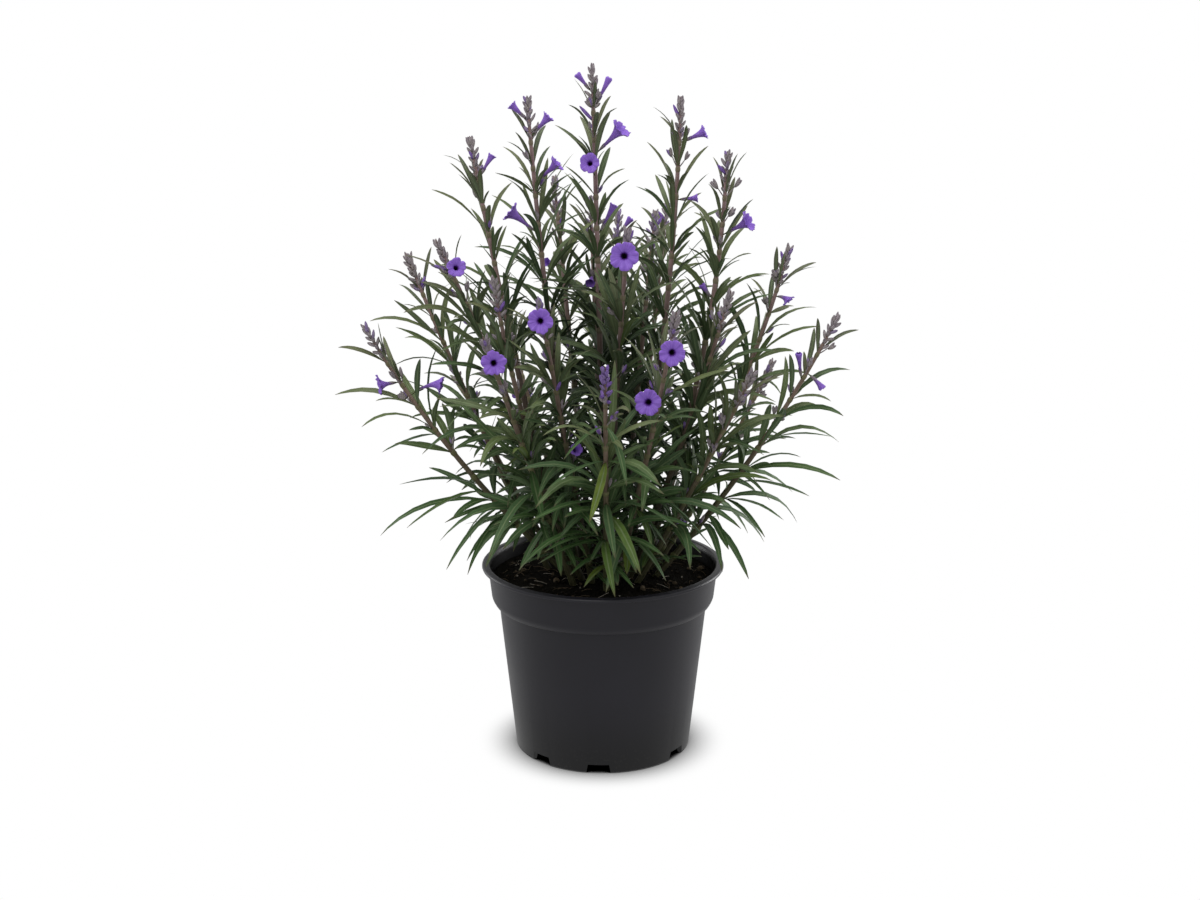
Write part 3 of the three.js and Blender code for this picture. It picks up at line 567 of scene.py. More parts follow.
def smooth_with_edges(bm, angle):
    """Smooth faces, with sharp edges where the surface turns by more than an angle in degrees."""
    smooth(bm)
    for edge in bm.edges:
        if len(edge.link_faces) == 2:
            edge.smooth = edge.calc_face_angle(0.0) < math.radians(angle)


def extruded_ring(bm, edges):
    """Extrudes a closed ring of edges and gives the new ring's vertices and edges."""
    made = bmesh.ops.extrude_edge_only(bm, edges=edges)["geom"]
    bm.verts.index_update()
    verts = [item for item in made if isinstance(item, bmesh.types.BMVert)]
    held = set(verts)
    new_edges = {edge for vert in verts for edge in vert.link_edges if set(edge.verts) <= held}
    return verts, sorted(new_edges, key=lambda edge: sorted(vert.index for vert in edge.verts))


def drawn_up(bm, face, stations, reach=1.0):
    """Draws a face's rim through (height, width) stations, closes the end and gives the rings."""
    rings = [list(face.verts)]
    edges = list(face.edges)
    for (height, width), (next_height, next_width) in zip(stations, stations[1:]):
        verts, edges = extruded_ring(bm, edges)
        factor = next_width / width
        bmesh.ops.scale(bm, vec=(factor, factor, 1.0), verts=verts)
        bmesh.ops.translate(bm, vec=(0.0, 0.0, (next_height - height) * reach), verts=verts)
        rings.append(verts)
    bmesh.ops.contextual_create(bm, geom=edges)
    return rings


def ringed_body(bm, section, stations):
    """A closed body along +Z: a section's points, scaled at each (height, width) station."""
    face = bm.faces.new([bm.verts.new((x, y, 0.0)) for x, y in section])
    height, width = stations[0]
    bmesh.ops.scale(bm, vec=(width, width, 1.0), verts=face.verts)
    bmesh.ops.translate(bm, vec=(0.0, 0.0, height), verts=face.verts)
    drawn_up(bm, face, stations)
    bmesh.ops.recalc_face_normals(bm, faces=bm.faces)
    smooth(bm)


def spun_body(outline, segments, roundings=()):
    """A body of revolution from (radius, height) points, with its corners rounded."""
    bm = bmesh.new()
    verts = [bm.verts.new((radius * MM, 0.0, height * MM)) for radius, height in outline]
    for a, b in zip(verts, verts[1:]):
        bm.edges.new((a, b))
    for vert, rounding in zip(verts[1:-1], roundings):
        bmesh.ops.bevel(bm, geom=[vert], offset=rounding * MM, offset_type="OFFSET",
                        segments=ROUNDING_STEPS, profile=0.5, affect="VERTICES", material=-1)
    bmesh.ops.spin(bm, geom=list(bm.verts) + list(bm.edges), cent=(0, 0, 0), axis=(0, 0, 1),
                   angle=2 * math.pi, steps=segments, use_merge=True)
    bmesh.ops.remove_doubles(bm, verts=bm.verts, dist=TOUCHING)
    bmesh.ops.recalc_face_normals(bm, faces=bm.faces)
    return bm


def leaf_template():
    """A flat leaf that notes where across it and on which side of it each point lies."""
    bm = bmesh.new()
    across, under = add_layers(bm, "across", "under")
    ringed_body(bm, LEAF_SECTION, LEAF_OUTLINE)
    for vert in bm.verts:
        width = stepped(LEAF_OUTLINE, vert.co.z)
        vert[across] = vert.co.x / width
        vert[under] = 1.0 if vert.co.y < -KEEL_FROM * width else 0.0
    for edge in bm.edges:
        on_margin = all(abs(abs(vert[across]) - 1.0) < 0.01 for vert in edge.verts)
        edge.smooth = not on_margin
    return finished_mesh("leaf", bm)


def round_body(sides, outline):
    """A round body along +Z that notes which way round each of its points lies."""
    bm = bmesh.new()
    round_x, round_y = add_layers(bm, "round_x", "round_y")
    turns = [2 * math.pi * i / sides for i in range(sides)]
    ringed_body(bm, [(math.cos(turn), math.sin(turn)) for turn in turns], outline)
    for vert in bm.verts:
        width = stepped(outline, vert.co.z)
        vert[round_x] = vert.co.x / width
        vert[round_y] = vert.co.y / width
    return bm


def stalk_template(stations):
    """A round rod, with sharp edges only where its flat ends meet its side."""
    bm = round_body(STEM_SIDES, [(i / (stations - 1), 1.0) for i in range(stations)])
    for edge in bm.edges:
        edge.smooth = not any(len(face.verts) > 4 for face in edge.link_faces)
    return finished_mesh("stalk", bm)


def bud_template():
    return finished_mesh("bud", round_body(BUD_SIDES, BUD_OUTLINE))


def pebble_template(rounds):
    bm = bmesh.new()
    bmesh.ops.create_icosphere(bm, subdivisions=rounds, radius=0.5)
    for face in bm.faces:
        face.smooth = rounds > 1
    return finished_mesh("pebble", bm)


def stamp(bm, mesh, place, **values):
    """Adds a template's mesh, moves each of its points, and sets their layers by name."""
    start = len(bm.verts)
    face_start = len(bm.faces)
    bm.from_mesh(mesh)
    bm.verts.ensure_lookup_table()
    bm.faces.ensure_lookup_table()
    layers = [(bm.verts.layers.float[title], value) for title, value in values.items()]
    for vert in bm.verts[start:]:
        template_point = vert.co.copy()
        for layer, value in layers:
            vert[layer] = value(template_point) if callable(value) else value
        vert.co = place(template_point)
    return bm.faces[face_start:]


def height_of(point):
    """How far along its template a point is, for the layers that follow a piece's length."""
    return point.z


def note_depth(bm):
    """Notes at each point how deep inside the plant it is, which the materials darken with painted shade."""
    depth, = add_layers(bm, "depth")
    for vert in bm.verts:
        vert[depth] = depth_inside(vert.co)


def tube_place(line, radius_at, low=0.0, high=1.0):
    """Bends a round template along a stretch of a line."""
    def place(point):
        share = mixed(low, high, point.z)
        along = line.along(share)
        across, other = square_to(along)
        radius = radius_at(point.z)
        return line.at(share) + across * (point.x * radius) + other * (point.y * radius)
    return place


# Leaves

class Leaf:
    """A leaf's middle line, the way its blade lies across it, and how it varies."""

    def __init__(self, line, side, width, age, seed):
        chance = Random(seed)
        self.line = line
        self.side = side
        self.width = width
        self.age = age
        self.tint = chance.random()
        self.twist = math.radians(chance.uniform(-LEAF_TWIST, LEAF_TWIST))
        self.sway = chance.uniform(-1, 1) * LEAF_SWAY
        self.curl = chance.uniform(0.0, 1.0) * LEAF_CURL
        self.fold = chance.uniform(*LEAF_FOLD)
        self.ripple = chance.uniform(0.0, ROUND)

    def place(self, point):
        share = point.z
        length = self.line.span()
        along = self.line.along(share)
        side = (self.side - along * self.side.dot(along)).normalized()
        side = Matrix.Rotation(self.twist * (share - UNTWISTED), 3, along) @ side
        top = side.cross(along)
        half = self.width / 2
        centre = self.line.at(share)
        centre = centre + side * (self.sway * length * math.sin(math.pi * share))
        centre = centre - top * (self.curl * length * max(0.0, share - CURL_START) * 2)
        wave = RIPPLE_DEPTH * half * math.sin(RIPPLES * share + self.ripple) * abs(point.x)
        return centre + side * (point.x * half) + top * (point.y * half * self.fold + wave)

    def turned(self, centre, axis, turn, scale, lift, seed):
        """A copy turned round the stem, made longer or shorter, and with its tip lifted or lowered."""
        spin = Matrix.Rotation(math.radians(turn), 3, axis)
        start = centre + spin @ (self.line.start - centre)
        bend = start + spin @ (self.line.bend - self.line.start) * scale
        end = start + spin @ (self.line.end - self.line.start) * scale
        rise = axis * (lift * (end - start).length)
        width = self.width * mixed(NARROWEST_SHARE, 1.0, clamped(scale))
        line = Line(start, bend + rise * LIFT_AT_BEND, end + rise)
        return Leaf(line, spin @ self.side, width, self.age, seed)

    def bow_under(self, mouths):
        """Lowers the leaf little by little until it leaves the open flowers in sight."""
        step = UP * (BOW_STEP * self.line.span())
        for _ in range(BOW_STEPS):
            if not covers(self, mouths):
                return
            self.line.bend = self.line.bend - step
            self.line.end = self.line.end - step

    def clear_of_pot(self):
        for point in self.line.points(12, first=3):
            reach = math.hypot(point.x, point.y) / MM
            lowest = next(height for radius, height in CLEAR_HEIGHTS if reach < radius)
            if point.z / MM < lowest:
                return False
        return True


def cad_leaves(node, line, number):
    """The leaves of a modelled stem, read from its mesh: each tip and the ring of three before it."""
    bm = bmesh.new()
    bm.from_mesh(node.data)
    bmesh.ops.remove_doubles(bm, verts=bm.verts, dist=TOUCHING)
    bm.verts.index_update()
    found = []
    for tip in bm.verts:
        ring = [edge.other_vert(tip) for edge in tip.link_edges]
        if len(ring) != 3 or min((vert.co - tip.co).length for vert in ring) < SHORTEST_TIP * MM:
            continue
        if all(any(edge.other_vert(a) == b for edge in a.link_edges) for a, b in round_pairs(ring)):
            found.append(leaf_from_ring(tip, ring, line, number))
    bm.free()
    found.sort(key=lambda leaf: tuple(round(c, 5) for c in leaf.line.end))
    return found


def ring_root(tip, ring, middle):
    """Where a modelled leaf meets its stalk, and a little way into it."""
    near = {edge.other_vert(vert) for vert in ring for edge in vert.link_edges}
    near = [vert.co for vert in sorted(near, key=lambda vert: vert.index) if vert not in [tip, *ring]]
    root = sum(near, Vector()) / len(near)
    return root - (middle - root).normalized() * LEAF_SEAT * MM


def leaf_seed(number, at, tip):
    """A seed that stays the same for the same stem, joint and tip."""
    return number * 1000 + round(at * 997) + round(tip.x * 7919) + round(tip.y * 6007)


def leaf_from_ring(tip, ring, line, number):
    """A leaf through the ring at its widest place, with the arch and size that its age gives it."""
    pairs = [(a, b, (a.co - b.co).length) for a, b in round_pairs(ring)]
    left, right, width = max(pairs, key=lambda pair: pair[2])
    keel = next(vert for vert in ring if vert not in (left, right))
    middle = (left.co + right.co) / 2
    root = ring_root(tip, ring, middle)
    at = line.nearest(root)
    share = (middle - root).length / ((middle - root).length + (tip.co - middle).length)
    bend = middle - root * (1 - share) ** 2 - tip.co * share ** 2
    leaf_line = Line(root, bend / (2 * share * (1 - share)), tip.co.copy())
    side = (right.co - left.co).normalized()
    under = clamped((line.end.z - root.z) / OLD_FROM)
    seed = leaf_seed(number, at, tip.co)
    arch = mixed(YOUNG_ARCH, OLD_ARCH, under) * leaf_line.span()
    leaf_line.bend = leaf_line.bend + line.along(at) * arch
    leaf_line.end = root + (tip.co - root) * mixed(YOUNG_LENGTH, OLD_LENGTH, under)
    wander = Random(seed + 7)
    drift = Vector([wander.uniform(-1, 1) for _ in range(3)]) * (OLD_WANDER * under)
    leaf_line.end = leaf_line.end + drift * leaf_line.span()
    if side.cross(leaf_line.along(share)).dot(keel.co - middle) > 0:
        side = -side
    age = clamped(1 - (root.z - OLDEST_HEIGHT) / (line.end.z - YOUNGEST_UNDER_TIP - OLDEST_HEIGHT))
    narrowing = SIDE_NARROWING * clamped(abs(root.x) / SIDE_OVER)
    narrowing += BACK_NARROWING * clamped(root.y / BACK_OVER)
    width *= mixed(YOUNG_WIDTH, OLD_WIDTH - narrowing, under)
    return Leaf(leaf_line, side, width, age, seed)


def hanging_leaf(line, row, seed):
    """A long leaf that rises a little from its stem and hangs down to a given tip."""
    _, share, tip, width, *yellow = row
    root = line.at(share)
    end = Vector(tip) * MM
    bend = root.lerp(end, HANGING_BEND) + UP * (HANGING_RISE * (end - root).length)
    leaf_line = Line(root, bend, end)
    side = leaf_line.along(0.5).cross(UP).normalized()
    leaf = Leaf(leaf_line, side, width * MM, HANGING_AGE, seed)
    if yellow:
        leaf.tint = YELLOW_TINT * (1 - yellow[0])
    return leaf


def base_leaves(line, chance):
    """Short old leaves that grow in every direction from the foot of a stem."""
    leaves = []
    for _ in range(BASE_LEAVES):
        root = line.at(chance.uniform(*BASE_PLACE))
        length = chance.uniform(*BASE_LENGTH) * MM
        outward = pointing(chance.uniform(0, 360), chance.uniform(*BASE_RISE))
        end = root + outward * length
        bend = root.lerp(end, BASE_BEND) + UP * (chance.uniform(*BASE_ARCH) * length)
        side = outward.cross(UP).normalized()
        width = chance.uniform(*BASE_WIDTH) * MM
        leaves.append(Leaf(Line(root, bend, end), side, width, 1.0, chance.random()))
    return leaves


def leaves_beside(leaf, line, chance):
    """Thinner leaves that grow at the same joint as a modelled one."""
    share = line.nearest(leaf.line.start)
    centre = line.at(share)
    axis = line.along(share)
    fullness = 1.0
    if centre.z < CROWN_TOP - CROWN_FADE:
        fullness = mixed(OUTER_SHARE, 1.0, max(depth_inside(centre), stepped(FRONT_LEAVES, centre.y)))
    made = []
    for youngest, oldest, likely, turns, scales, lifts in BESIDE:
        turn = chance.choice((-1, 1)) * chance.uniform(*turns)
        scale, lift = chance.uniform(*scales), chance.uniform(*lifts)
        seed = chance.random()
        if chance.random() < likely * fullness and youngest <= leaf.age <= oldest:
            made.append(leaf.turned(centre, axis, turn, scale, lift, seed))
    for _ in range(INNER_TRIES):
        if leaf.age > INNER_AGE and chance.random() < INNER_CHANCE * depth_inside(centre):
            turn, scale, lift = [chance.uniform(*spread) for spread in INNER_SPREAD]
            made.append(leaf.turned(centre, axis, turn, scale, lift, chance.random()))
    return made


def covers(leaf, mouths):
    """Whether a leaf passes between an open flower and the camera."""
    for centre, radius in mouths:
        sight = (Vector(CAMERA_PLACE) - centre).normalized()
        for point in leaf.line.points(12):
            offset = point - centre
            forward = offset.dot(sight)
            aside = (offset - sight * forward).length
            if forward > -SIGHT_BEHIND and aside < radius + SIGHT_MARGIN:
                return True
    return False


def crowded(leaf, chance):
    """Whether a modelled leaf low on the plant's sides is left out."""
    middle = leaf.line.at(0.6)
    aside = clamped((abs(middle.x) - THINNED_BEYOND) / THINNING_GROWS_OVER)
    below = clamped((THINNED_BELOW - middle.z) / THINNING_GROWS_OVER)
    return chance.random() < SIDE_THINNING * aside * below


def in_box(leaf):
    """Whether a leaf's middle line stays in the modelled plant's box, or just outside it."""
    low, high = CAD_BOX
    return all(
        low[axis] - BOX_MARGIN < point[axis] < high[axis] + BOX_MARGIN
        for point in leaf.line.points(4, first=1) for axis in range(3)
    )


def grown_leaves(number, line, node, mouths):
    """Every leaf of one stem: the modelled ones, thinner ones beside them, and those that hang."""
    chance = Random(BESIDE_SEED + number)
    thinning = Random(THINNING_SEED + number)
    leaves = [leaf for leaf in cad_leaves(node, line, number) if not crowded(leaf, thinning)]
    added = []
    for leaf in leaves:
        leaf.bow_under(mouths)
        added += leaves_beside(leaf, line, chance)
    added += base_leaves(line, chance)
    leaves += [leaf for leaf in added if leaf.clear_of_pot() and in_box(leaf) and not covers(leaf, mouths)]
    for i, row in enumerate(HANGING_LEAVES):
        if row[0] == number:
            leaves.append(hanging_leaf(line, row, HANGING_SEED + i))
    return leaves


def add_leaves(number, leaves, mesh, material):
    bm = bmesh.new()
    add_layers(bm, "across", "under", "length", "age", "tint")
    for leaf in leaves:
        stamp(bm, mesh, leaf.place, length=height_of, age=leaf.age, tint=leaf.tint)
    note_depth(bm)
    name = stem_name(number)
    return new_piece(bm, f"{name}_leaves", [material], "foliage", name)


# Stalks

def stem_radius(line, share):
    travelled = line.length() / MM
    stout = STALK_FULLNESS * mixed(SHORT_STEM_STOUTNESS, 1.0, clamped(travelled / TALL_STEM))
    top = 1 - SPIKE_LENGTH / travelled
    if share <= top:
        return MM * stout * mixed(STEM_LOW_RADIUS, STEM_TOP_RADIUS, share / top)
    return MM * stout * mixed(STEM_TOP_RADIUS, STEM_TIP_RADIUS, (share - top) / (1 - top))


def joint_radius(line, share):
    """The radius along the swelling round a stalk at a leaf joint."""
    radius = stem_radius(line, share)
    return lambda along: radius * (JOINT_COVER + JOINT_SWELL * math.sin(math.pi * along))


def joint_shares(line):
    """How far along a stem each pair of leaves grows, from the top down."""
    total = line.length() / MM
    shares = []
    under = FIRST_PAIR_UNDER_SPIKE
    while True:
        share = line.share_at((1 - (SPIKE_LENGTH + under) / total) * total * MM)
        if line.at(share).z < LOWEST_JOINT:
            return shares
        shares.append(share)
        under += mixed(TOP_SPACING, LOW_SPACING, clamped(under / SPACING_GROWS_OVER))


def add_stalk(number, line, joints, stalk, collar, material):
    bm = bmesh.new()
    add_layers(bm, "round_x", "round_y", "rise", "knot")
    place = tube_place(line, lambda share: stem_radius(line, share))
    stamp(bm, stalk, place, rise=lambda point: line.at(point.z).z, knot=0.0)
    reach = JOINT_REACH * MM / line.length()
    for share in joints:
        place = tube_place(line, joint_radius(line, share), share - reach, share + reach)
        stamp(bm, collar, place, rise=line.at(share).z, knot=1.0)
    note_depth(bm)
    name = stem_name(number)
    return new_piece(bm, f"{name}_stalk", [material], "stem_bark", name)


# Buds: each is its start, direction, length, width and how violet it is

def bud_place(start, direction, length, width, bow):
    """Stands a bud on its start, and bows its middle line up towards its tip."""
    across, other = square_to(direction)
    def place(point):
        centre = start + direction * (length * point.z)
        centre = centre + UP * (bow * length * point.z ** 2)
        return centre + (across * point.x + other * point.y) * (width / 2)
    return place


def leaning(line, share, turn, lean):
    """The direction that leans away from a line by an angle, at a turn round it."""
    along = line.along(share)
    across, other = square_to(along)
    outward = across * math.cos(turn) + other * math.sin(turn)
    return (along * math.cos(lean) + outward * math.sin(lean)).normalized()


def spike_buds(number, line, chance):
    """The buds of the spike at a stem's tip, in pairs from the top down."""
    total = line.length() / MM
    likely = VIOLET_SPIKES.get(number, VIOLET_CHANCE)
    deeper = max(0.0, likely - DEEPER_FROM)
    buds = []
    turn = chance.uniform(0, math.pi)
    under = SPIKE_START
    while under < SPIKE_END:
        share = 1 - under / total
        down = clamped(under / SPIKE_LENGTH)
        lean = math.radians(mixed(*SPIKE_LEAN, down))
        start = line.at(share) - line.along(share) * BUD_SEAT * MM
        for side in (0, math.pi):
            at = turn + side + chance.uniform(-SPIKE_TURN_WANDER, SPIKE_TURN_WANDER)
            length = chance.uniform(*SPIKE_BUD_LENGTH)
            violet = clamped(deeper + chance.uniform(*SPIKE_VIOLET)) if chance.random() < likely else 0.0
            stray = math.radians(chance.uniform(-SPIKE_LEAN_WANDER, SPIKE_LEAN_WANDER))
            direction = leaning(line, share, at, lean + stray)
            width = chance.uniform(*SPIKE_BUD_WIDTH)
            buds.append((start, direction, length * MM, width * MM, violet))
        turn += math.pi / 2 + chance.uniform(-SPIKE_PAIR_WANDER, SPIKE_PAIR_WANDER)
        under += mixed(*SPIKE_SPACING, down)
    return buds


def tuft_buds(line, share, chance, high):
    """A short stalk with a few buds at a leaf joint; the high ones are longer and fuller."""
    turn = chance.uniform(0, 2 * math.pi)
    stalk_direction = leaning(line, share, turn, math.radians(chance.uniform(*TUFT_LEAN)))
    stalk_length = chance.uniform(*TUFT_STALK) * (1.0 if high else LOW_STALK_SHARE) * MM
    start = line.at(share)
    end = start + stalk_direction * stalk_length
    buds = [(start, stalk_direction, stalk_length * 1.1, TUFT_STALK_WIDTH * MM, 0.0)]
    for _ in range(chance.randint(*(HIGH_TUFT_BUDS if high else LOW_TUFT_BUDS))):
        spread = Vector([chance.uniform(-1, 1) for _ in range(3)]) * TUFT_SPREAD
        length = chance.uniform(*TUFT_BUD_LENGTH)
        violet = chance.uniform(*TUFT_VIOLET) if chance.random() < TUFT_VIOLET_CHANCE else 0.0
        direction = (stalk_direction + spread).normalized()
        buds.append((end, direction, length * MM, length * TUFT_BUD_SLIMNESS * MM, violet))
    return buds


def tuft_chance(joint, likely):
    """The chance of a tuft at a joint, counted from the top."""
    if joint < HIGH_JOINTS:
        return likely
    return 0.5 * likely if joint < MIDDLE_JOINTS else LOW_TUFT_CHANCE


def add_buds(number, line, joints, bud, material):
    chance = Random(BUD_SEED + number)
    buds = spike_buds(number, line, chance)
    for stem, share, turn, rise, length in VIOLET_BUDS:
        if stem == number:
            buds.append((line.at(share), pointing(turn, rise), length * MM, VIOLET_BUD_WIDTH * MM, 1.0))
    for joint, share in enumerate(joints):
        for likely in TUFT_CHANCES:
            if chance.random() < tuft_chance(joint, likely):
                buds += tuft_buds(line, share, chance, joint < HIGH_JOINTS)
    bm = bmesh.new()
    add_layers(bm, "round_x", "round_y", "length", "tint", "violet")
    for start, direction, length, width, violet in buds:
        place = bud_place(start, direction, length, width, chance.uniform(0.0, MOST_BOW))
        stamp(bm, bud, place, length=height_of, tint=chance.random(), violet=violet)
    name = stem_name(number)
    return new_piece(bm, f"{name}_buds", [material], "buds", name)


# Flowers

def trumpet(kind):
    """A trumpet's stations: height, radius and lobes."""
    return list(zip(TRUMPET_HEIGHTS, *kind))


def corolla_stations(limb, front):
    """A trumpet's stations up the outside and back down the inside."""
    if limb < CLOSED_LIMB:
        outside = trumpet(CLOSED_TRUMPET)
        step = -PETAL_STEP
    else:
        openness = clamped((limb - NARROW_LIMB) / (OPEN_LIMB - NARROW_LIMB))
        wide = trumpet(FLAT_TRUMPET if front else FUNNEL_TRUMPET)
        outside = [
            tuple(mixed(a, b, openness) for a, b in zip(*stations))
            for stations in zip(trumpet(NARROW_TRUMPET), wide)
        ]
        step = PETAL_STEP
    inside = [
        (height + step, radius * PETAL_SHRINK - PETAL_WALL, lobes)
        for height, radius, lobes in outside[::-1]
    ]
    return outside + inside[:-2]


def lobed(point, lobes, radius, wave, sizes):
    """Notches the rim between the five lobes, and crinkles it."""
    turn = math.atan2(point.y, point.x)
    lobe = int(((turn + math.pi) / (2 * math.pi) * LOBES + 0.5) % LOBES)
    swell = abs(math.cos(LOBES / 2 * turn))
    ruffle, ruffles = RIM_RUFFLE
    pull = 1 - lobes * (LOBE_NOTCH * (1 - swell) ** 4 + LOBE_HOLLOW * (1 - swell))
    pull *= 1 + lobes * (sizes[lobe] * swell + ruffle * math.sin(ruffles * turn + wave))
    crinkle = sum(depth * math.sin(count * turn + shift * wave) for depth, count, shift in RIM_CRINKLES)
    lift = lobes * radius * (crinkle - LOBE_DROOP * (1 - swell) ** 2)
    return Vector((point.x * pull, point.y * pull, point.z + lift))


def corolla(bm, reach, limb, front, chance):
    """The petals: one thin trumpet, made outside first and then back down inside."""
    layers = bm.verts.layers.float
    throat, round_x, round_y, outer = [layers[title] for title in ("throat", "round_x", "round_y", "outer")]
    radius = limb / 2 * MM
    stations = corolla_stations(limb, front)
    sizes = [chance.uniform(*LOBE_SIZES) for _ in range(LOBES)]
    wave = chance.uniform(0, ROUND)
    height, share, _ = stations[0]
    made = bmesh.ops.create_circle(bm, cap_ends=True, segments=PETAL_SEGMENTS, radius=share * radius)
    bmesh.ops.translate(bm, vec=(0.0, 0.0, height * reach), verts=made["verts"])
    face = made["verts"][0].link_faces[0]
    rings = drawn_up(bm, face, [(height, share) for height, share, _ in stations], reach)
    for i, (ring, (height, share, lobes)) in enumerate(zip(rings, stations)):
        inside = i > len(rings) // 2
        for vert in ring:
            flat = Vector((vert.co.x, vert.co.y)).normalized()
            vert[round_x] = flat.x
            vert[round_y] = flat.y
            vert[throat] = clamped(1 - share / THROAT_SHARE) if inside else 0.0
            vert[outer] = clamped((height - TUBE_FADE[0]) / TUBE_FADE[1])
            vert.co = lobed(vert.co, lobes, radius, wave, sizes)


def calyx(bm, reach, bud, stalk, chance):
    """The green tube under the petals and the sepals round it; gives their faces."""
    tube = Line(Vector(), UP * reach * CALYX_BEND, UP * reach * CALYX_END)
    faces = stamp(bm, stalk, tube_place(tube, lambda share: CALYX_RADIUS * MM), rise=0.5)
    for i in range(SEPALS):
        spin = 2 * math.pi * i / SEPALS + chance.uniform(-SEPAL_TURN, SEPAL_TURN)
        outward = Vector((math.cos(spin), math.sin(spin), 0))
        start = outward * SEPAL_RADIUS * MM + UP * reach * SEPAL_HEIGHT
        direction = Vector((math.cos(spin) * SEPAL_LEAN, math.sin(spin) * SEPAL_LEAN, 1)).normalized()
        length = chance.uniform(*SEPAL_LENGTH) * MM
        place = bud_place(start, direction, length, SEPAL_WIDTH * MM, 0.0)
        faces += stamp(bm, bud, place, length=height_of, tint=chance.random())
    return faces


def face_of(number, row):
    """The way a flower faces."""
    return Vector(FACES.get(number, pointing(row[2], row[3]))).normalized()


def flower_line(number, row, lines):
    """The middle line of a flower, from its stem to its mouth, turning towards the way it faces."""
    stem, at, turn, rise, reach, _ = row
    along = pointing(turn, rise)
    base = lines[stem - 1].at(at)
    bend = base + along * (reach * TUBE_SHARE * MM)
    way = along.lerp(face_of(number, row), FACE_TURN).normalized()
    return Line(base, bend, bend + way * (reach * (1 - TUBE_SHARE) * MM))


def bent_place(line, reach, spin):
    """Moves a trumpet that was made upright onto its middle line."""
    along = line.along(0.0)
    upright = UP.rotation_difference(along).to_matrix() @ Matrix.Rotation(spin, 3, "Z")
    def place(point):
        share = point.z / reach
        way = line.along(clamped(share))
        frame_there = along.rotation_difference(way).to_matrix() @ upright
        centre = line.at(clamped(share)) + way * ((share - clamped(share)) * reach)
        return centre + frame_there @ Vector((point.x, point.y, 0.0))
    return place


def flower_piece(number, row, lines, bud, stalk, materials):
    reach, limb = row[4] * MM, row[5]
    chance = Random(FLOWER_SEED + number)
    bm = bmesh.new()
    add_layers(bm, "throat", "round_x", "round_y", "outer", "length", "tint", "rise", "knot", "violet")
    corolla(bm, reach, limb, face_of(number, row).y < FACES_FRONT, chance)
    for face in calyx(bm, reach, bud, stalk, chance):
        face.material_index = 1
    bmesh.ops.recalc_face_normals(bm, faces=bm.faces)
    smooth(bm)
    place = bent_place(flower_line(number, row, lines), reach, chance.uniform(0, ROUND))
    for vert in bm.verts:
        vert.co = place(vert.co)
    name = f"flower_{number:02d}"
    return new_piece(bm, f"{name}_bloom", materials, "petals", name)


# The container, its soil, and what lies loose on it

def pot_piece(material):
    """The container, spun from its outline and then notched at its foot."""
    roundings = [POT_ROUNDING.get(i, POT_TOUCH) for i in range(1, len(POT_OUTLINE) - 1)]
    bm = spun_body(POT_OUTLINE, POT_SEGMENTS, roundings)
    piece = new_piece(bm, "nursery_pot", [material], "nursery_plastic", "pot")
    cut_notches(piece)
    return piece


def notch_cutter():
    """Tapered blocks round the foot, where water drains out."""
    bm = bmesh.new()
    depth = NOTCH_OUTER_RADIUS - NOTCH_INNER_RADIUS
    for turn in NOTCH_TURNS:
        made = bmesh.ops.create_cube(bm, size=1.0)["verts"]
        for vert in made:
            top = vert.co.z > 0
            width = NOTCH_TOP_WIDTH if top else NOTCH_LOW_WIDTH
            height = NOTCH_HEIGHT if top else -NOTCH_BELOW
            radius = (NOTCH_INNER_RADIUS + depth / 2) + vert.co.y * depth
            vert.co = Vector((vert.co.x * width, -radius, height)) * MM
        spin = Matrix.Rotation(math.radians(turn), 4, "Z")
        bmesh.ops.transform(bm, matrix=spin, verts=made)
    bmesh.ops.recalc_face_normals(bm, faces=bm.faces)
    return new_object("notch_cutter", finished_mesh("notch_cutter", bm))


def cut_notches(piece):
    cutter = notch_cutter()
    cut = piece.modifiers.new("notches", "BOOLEAN")
    cut.operation = "DIFFERENCE"
    cut.object = cutter
    cut.solver = "EXACT"
    depsgraph = bpy.context.evaluated_depsgraph_get()
    result = bpy.data.meshes.new_from_object(piece.evaluated_get(depsgraph))
    piece.modifiers.clear()
    bpy.data.objects.remove(cutter)
    bm = bmesh.new()
    bm.from_mesh(result)
    bmesh.ops.remove_doubles(bm, verts=bm.verts, dist=2 * TOUCHING)
    bmesh.ops.dissolve_degenerate(bm, edges=bm.edges, dist=2 * TOUCHING)
    smooth_with_edges(bm, POT_SHARP)
    bm.to_mesh(piece.data)
    bm.free()


def soil_height(x, y):
    """The lumpy surface of the soil, in metres."""
    radius = math.hypot(x, y) / MM
    rough = sum(
        high * noise.noise(Vector((x, y, layer)) * fineness) for high, fineness, layer in (LUMPS, GRAINS)
    )
    calm = mixed(CALM_SHARE, 1.0, clamped((SOIL_EDGE - radius) / CALM_STRIP))
    return (stepped(SOIL_CROWN, radius) - SOIL_SINK + rough * calm) * MM


def soil_piece(material):
    rings = [SOIL_EDGE * (1 - i / SOIL_RINGS) for i in range(1, SOIL_RINGS + 1)]
    outline = SOIL_SIDE + [(radius, stepped(SOIL_CROWN, radius)) for radius in rings]
    bm = spun_body(outline, SOIL_SEGMENTS)
    for vert in bm.verts:
        if vert.co.z > SOIL_SURFACE * MM:
            vert.co.z = soil_height(vert.co.x, vert.co.y)
    smooth_with_edges(bm, SOIL_SHARP)
    return new_piece(bm, "soil_bed", [material], "potting_soil", "potting_soil")


